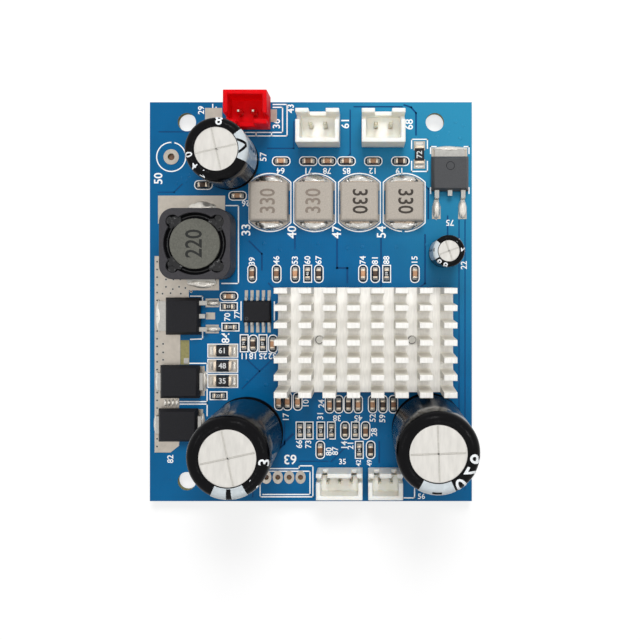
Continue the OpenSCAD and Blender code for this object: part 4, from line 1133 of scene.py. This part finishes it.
# Ring of the mould's ejector pin, and the dot at the controller's first lead: node, radius and place in mm
MOULD_MARKS = (("regulator_body", 0.75, 0, 1.3), ("boost_controller", 0.3, -1.8, -1.2))


class AMPLIFIER_OT_power_packages(bpy.types.Operator):
    """Regulator, transistor, diodes and controller"""
    bl_idname = "amplifier.power_packages"
    bl_label = "Power packages"

    def execute(self, context):
        soft = context.scene.part_look.softness
        black, grey = "black_mould_compound", "grey_mould_compound"
        bodies = [("regulator_body", grey, "grey_epoxy")]
        bodies += [(node, black, "black_epoxy") for node in BLACK_BODIES]
        for node, material, slot in bodies:
            rounded(node, soft, [material], 2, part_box(node)[1].z - 0.05 * MM)
        for node in LEADFRAMES:
            paint(node, "tin_plate")
        bm = bmesh.new()
        for i, (node, reach, x, y) in enumerate(MOULD_MARKS):
            mid, top = middle(node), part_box(node)[1].z
            ring = rim(disc(reach * MM, 24), 0.1 * MM, 0.01 * MM)
            stamp(bm, ring, at(mid.x + x * MM, mid.y + y * MM, top), i)
        keep("mould_marks", bm, [black, grey])
        return {"FINISHED"}


class AMPLIFIER_OT_headers(bpy.types.Operator):
    """Five shrouded headers with their pins"""
    bl_idname = "amplifier.headers"
    bl_label = "Headers"

    def execute(self, context):
        soft = context.scene.part_look.softness
        white, red = "natural_nylon", "dyed_red_nylon"
        for node, material, slot in (("power_header", red, "red_nylon"),
                                     ("speaker_header_left", white, "white_nylon"),
                                     ("speaker_header_right", white, "white_nylon"),
                                     ("signal_header", white, "white_nylon"),
                                     ("mute_header", white, "white_nylon")):
            rounded(node + "_housing", soft, [material])
            paint(node + "_pins", "tinned_brass")
        return {"FINISHED"}


def fillet():
    """Solder that climbs the end of a chip in a hollow wedge, one unit long, wide and high."""
    bm = bmesh.new()
    bmesh.ops.create_cube(bm, size=1.0, matrix=Matrix.Translation((0.5, 0, 0.5)))
    for v in bm.verts:
        if v.co.x > 0.5:
            v.co.z *= 0.06
            v.co.y *= 0.8
    slope = [e for e in bm.edges
             if all(v.co.z > 0.03 for v in e.verts) and abs(e.verts[0].co.x - e.verts[1].co.x) > 0.5]
    made = bmesh.ops.subdivide_edges(bm, edges=slope, cuts=2, use_grid_fill=True)["geom_inner"]
    for v in made:
        if isinstance(v, bmesh.types.BMVert):
            v.co.z *= 0.6
    outward(bm)
    return shape(bm)


class AMPLIFIER_OT_chip_parts(bpy.types.Operator):
    """Chip capacitors and resistors with their solder"""
    bl_idname = "amplifier.chip_parts"
    bl_label = "Chip parts"

    def execute(self, context):
        rounded("chip_capacitors", 0.05 * MM, ["fired_ceramic"], 1)
        rounded("chip_resistors", 0.04 * MM, ["black_overglaze"], 1)
        rounded("chip_terminals", 0.05 * MM, ["tinned_chip_end"], 1)
        wedge = fillet()
        solder, marks = bmesh.new(), bmesh.new()
        shown = 0
        for chip in chips():
            # Length and share of the width of the solder, and height of the number
            reach, share, digit = (0.6, 1.9, 0.95) if chip.kind == "large" else (0.32, 1.8, 0.5)
            size = (reach * MM, share * chip.wide, 0.85 * (chip.top - SEAT))
            for turn in (chip.turn, chip.turn + 180):
                way = math.radians(turn)
                x, y = chip.mid.x + chip.half * math.cos(way), chip.mid.y + chip.half * math.sin(way)
                stamp(solder, wedge, at(x, y, SEAT, turn, size))
            if chip.kind != "capacitor":
                shown += 1
                place = at(chip.mid.x, chip.mid.y, chip.top, chip.turn, (digit * MM, digit * MM, 1))
                number(marks, str(11 + 13 * shown % 80), place, 0.01 * MM)
        keep("chip_solder", solder, ["dull_solder"], 60)
        keep("resistor_numbers", marks, ["resistor_print"])
        return {"FINISHED"}


# Stage


# Two softboxes light between the fins and into the headers, and aren't mirrored. A small lamp on each side
# gives the glints. Name, place and size in metres, the look that sets the power, and the share of it
LAMPS = (
    ("softbox", (0.01, 0.01, 0.62), 0.2, "softbox", 1.0),
    ("softbox_north", (0.04, 0.3, 0.43), 0.2, "north", 1.0),
    ("lamp_north", (0.02, 0.24, 0.42), 0.06, "key", 1.0),
    ("lamp_east", (0.22, 0.02, 0.42), 0.06, "key", 0.85),
    ("lamp_south", (0.02, -0.26, 0.42), 0.06, "key", 0.55),
    ("lamp_west", (-0.25, 0.02, 0.42), 0.06, "key", 0.5),
)
# Floor: share of its colour that light meets, share that the camera sees lit, and the even glow added there
FLOOR_BOUNCE, FLOOR_LIT, FLOOR_GLOW = 0.8, 0.42, 0.66
# Half the floor's side in metres, and how far it lies below the part
FLOOR_REACH, FLOOR_GAP = 3.0, 0.02 * MM
# Brightness of the world where the camera or a mirror looks at it
SKY_SEEN = 0.96
# Camera: place above the board in mm, and the shift that frames the board as in the photograph
CAMERA_X, CAMERA_Y, SHIFT_X, SHIFT_Y = 9.5, 3.8, -0.0703, -0.0625


def looked_at(tree):
    """1 where the camera, a mirror or a clear piece looks, and 0 where light only bounces."""
    path = add(tree, "ShaderNodeLightPath")
    seen = path.outputs["Is Camera Ray"]
    for ray in ("Is Glossy Ray", "Is Transmission Ray"):
        both = add(tree, "ShaderNodeMath", {"operation": "MAXIMUM"}, {0: seen, 1: path.outputs[ray]})
        seen = both.outputs[0]
    return seen


def pale_floor(look):
    """Pale board: looks white where nothing shades it."""
    made = bpy.data.materials.new("pale_floor")
    tree = emptied(made)
    seen = looked_at(tree)
    grey = add(tree, "ShaderNodeBsdfDiffuse", None, {"Color": rgba(look.floor, FLOOR_LIT)})
    glow = add(tree, "ShaderNodeEmission", None, {"Color": rgba((1, 1, 1)), "Strength": FLOOR_GLOW})
    lit = add(tree, "ShaderNodeAddShader", None, {0: grey.outputs[0], 1: glow.outputs[0]})
    plain = add(tree, "ShaderNodeBsdfDiffuse", None, {"Color": rgba(look.floor, FLOOR_BOUNCE)})
    mixed = add(tree, "ShaderNodeMixShader", None, {0: seen, 1: plain.outputs[0], 2: lit.outputs[0]})
    add(tree, "ShaderNodeOutputMaterial", None, {"Surface": mixed.outputs[0]})
    return made


def studio(look):
    """World of even light, white where the camera or a mirror looks at it."""
    made = bpy.data.worlds.new("studio")
    tree = emptied(made)
    level = add(tree, "ShaderNodeMix", None, {0: looked_at(tree), 2: look.world, 3: SKY_SEEN})
    sky = add(tree, "ShaderNodeBackground", None, {"Color": rgba((1, 1, 1)), "Strength": level.outputs[0]})
    add(tree, "ShaderNodeOutputWorld", None, {"Surface": sky.outputs[0]})
    return made


class AMPLIFIER_OT_stage(bpy.types.Operator):
    """Floor, lights and camera"""
    bl_idname = "amplifier.stage"
    bl_label = "Stage"

    def execute(self, context):
        scene, look = context.scene, context.scene.stage_look
        scene.view_settings.view_transform = "Standard"
        bm = bmesh.new()
        bmesh.ops.create_grid(bm, x_segments=1, y_segments=1, size=FLOOR_REACH)
        bmesh.ops.translate(bm, vec=(0, 0, CAD_BOX[0][2] - FLOOR_GAP), verts=bm.verts[:])
        mesh = shape(bm)
        mesh.materials.append(pale_floor(look))
        floor = bpy.data.objects.new("pale_floor", mesh)
        scene.collection.objects.link(floor)
        scene.world = studio(look)
        for name, place, size, field, share in LAMPS:
            light = bpy.data.lights.new(name, "AREA")
            light.shape, light.size, light.energy = "SQUARE", size, share * getattr(look, field)
            lamp = bpy.data.objects.new(name, light)
            lamp.location = place
            lamp.visible_glossy = field == "key"
            lamp.rotation_euler = (-Vector(place)).to_track_quat("-Z", "Y").to_euler()
            scene.collection.objects.link(lamp)
        # The camera looks straight down
        camera = bpy.data.cameras.new("camera")
        camera.lens, camera.sensor_width = look.lens, 36.0
        camera.shift_x, camera.shift_y = SHIFT_X, SHIFT_Y
        camera.clip_start, camera.clip_end = 0.005, 10.0
        viewer = bpy.data.objects.new("camera", camera)
        viewer.location = (CAMERA_X * MM, CAMERA_Y * MM, TOP + look.camera)
        scene.collection.objects.link(viewer)
        scene.camera = viewer
        return {"FINISHED"}


OPERATORS = (
    AMPLIFIER_OT_stage, AMPLIFIER_OT_circuit_board, AMPLIFIER_OT_tin_and_solder, AMPLIFIER_OT_legend,
    AMPLIFIER_OT_heatsink, AMPLIFIER_OT_capacitors, AMPLIFIER_OT_boost_inductor,
    AMPLIFIER_OT_output_inductors, AMPLIFIER_OT_power_packages, AMPLIFIER_OT_headers,
    AMPLIFIER_OT_chip_parts,
)
LOOKS = (("board_look", BoardLook), ("part_look", PartLook), ("stage_look", StageLook))


class AMPLIFIER_PT_looks(bpy.types.Panel):
    """Sizes, colours and pieces of the amplifier board"""
    bl_label = "Amplifier board"
    bl_space_type = "VIEW_3D"
    bl_region_type = "UI"
    bl_category = "Amplifier"

    def draw(self, context):
        for name, group in LOOKS:
            box = self.layout.box()
            box.label(text=group.__doc__)
            for field in group.__annotations__:
                box.prop(getattr(context.scene, name), field)
        for operator in OPERATORS:
            self.layout.operator(operator.bl_idname)


def register():
    """Adds the classes and the scene's looks."""
    for name, group in LOOKS:
        bpy.utils.register_class(group)
        setattr(bpy.types.Scene, name, PointerProperty(type=group))
    for known in (*OPERATORS, AMPLIFIER_PT_looks):
        bpy.utils.register_class(known)


def unregister():
    """Takes the classes and the scene's looks away."""
    for known in (AMPLIFIER_PT_looks, *reversed(OPERATORS)):
        bpy.utils.unregister_class(known)
    for name, group in reversed(LOOKS):
        delattr(bpy.types.Scene, name)
        bpy.utils.unregister_class(group)


def main():
    """Dresses the board."""
    register()
    for operator in OPERATORS:
        group, name = operator.bl_idname.split(".")
        getattr(getattr(bpy.ops, group), name)()


if __name__ == "__main__":
    main()
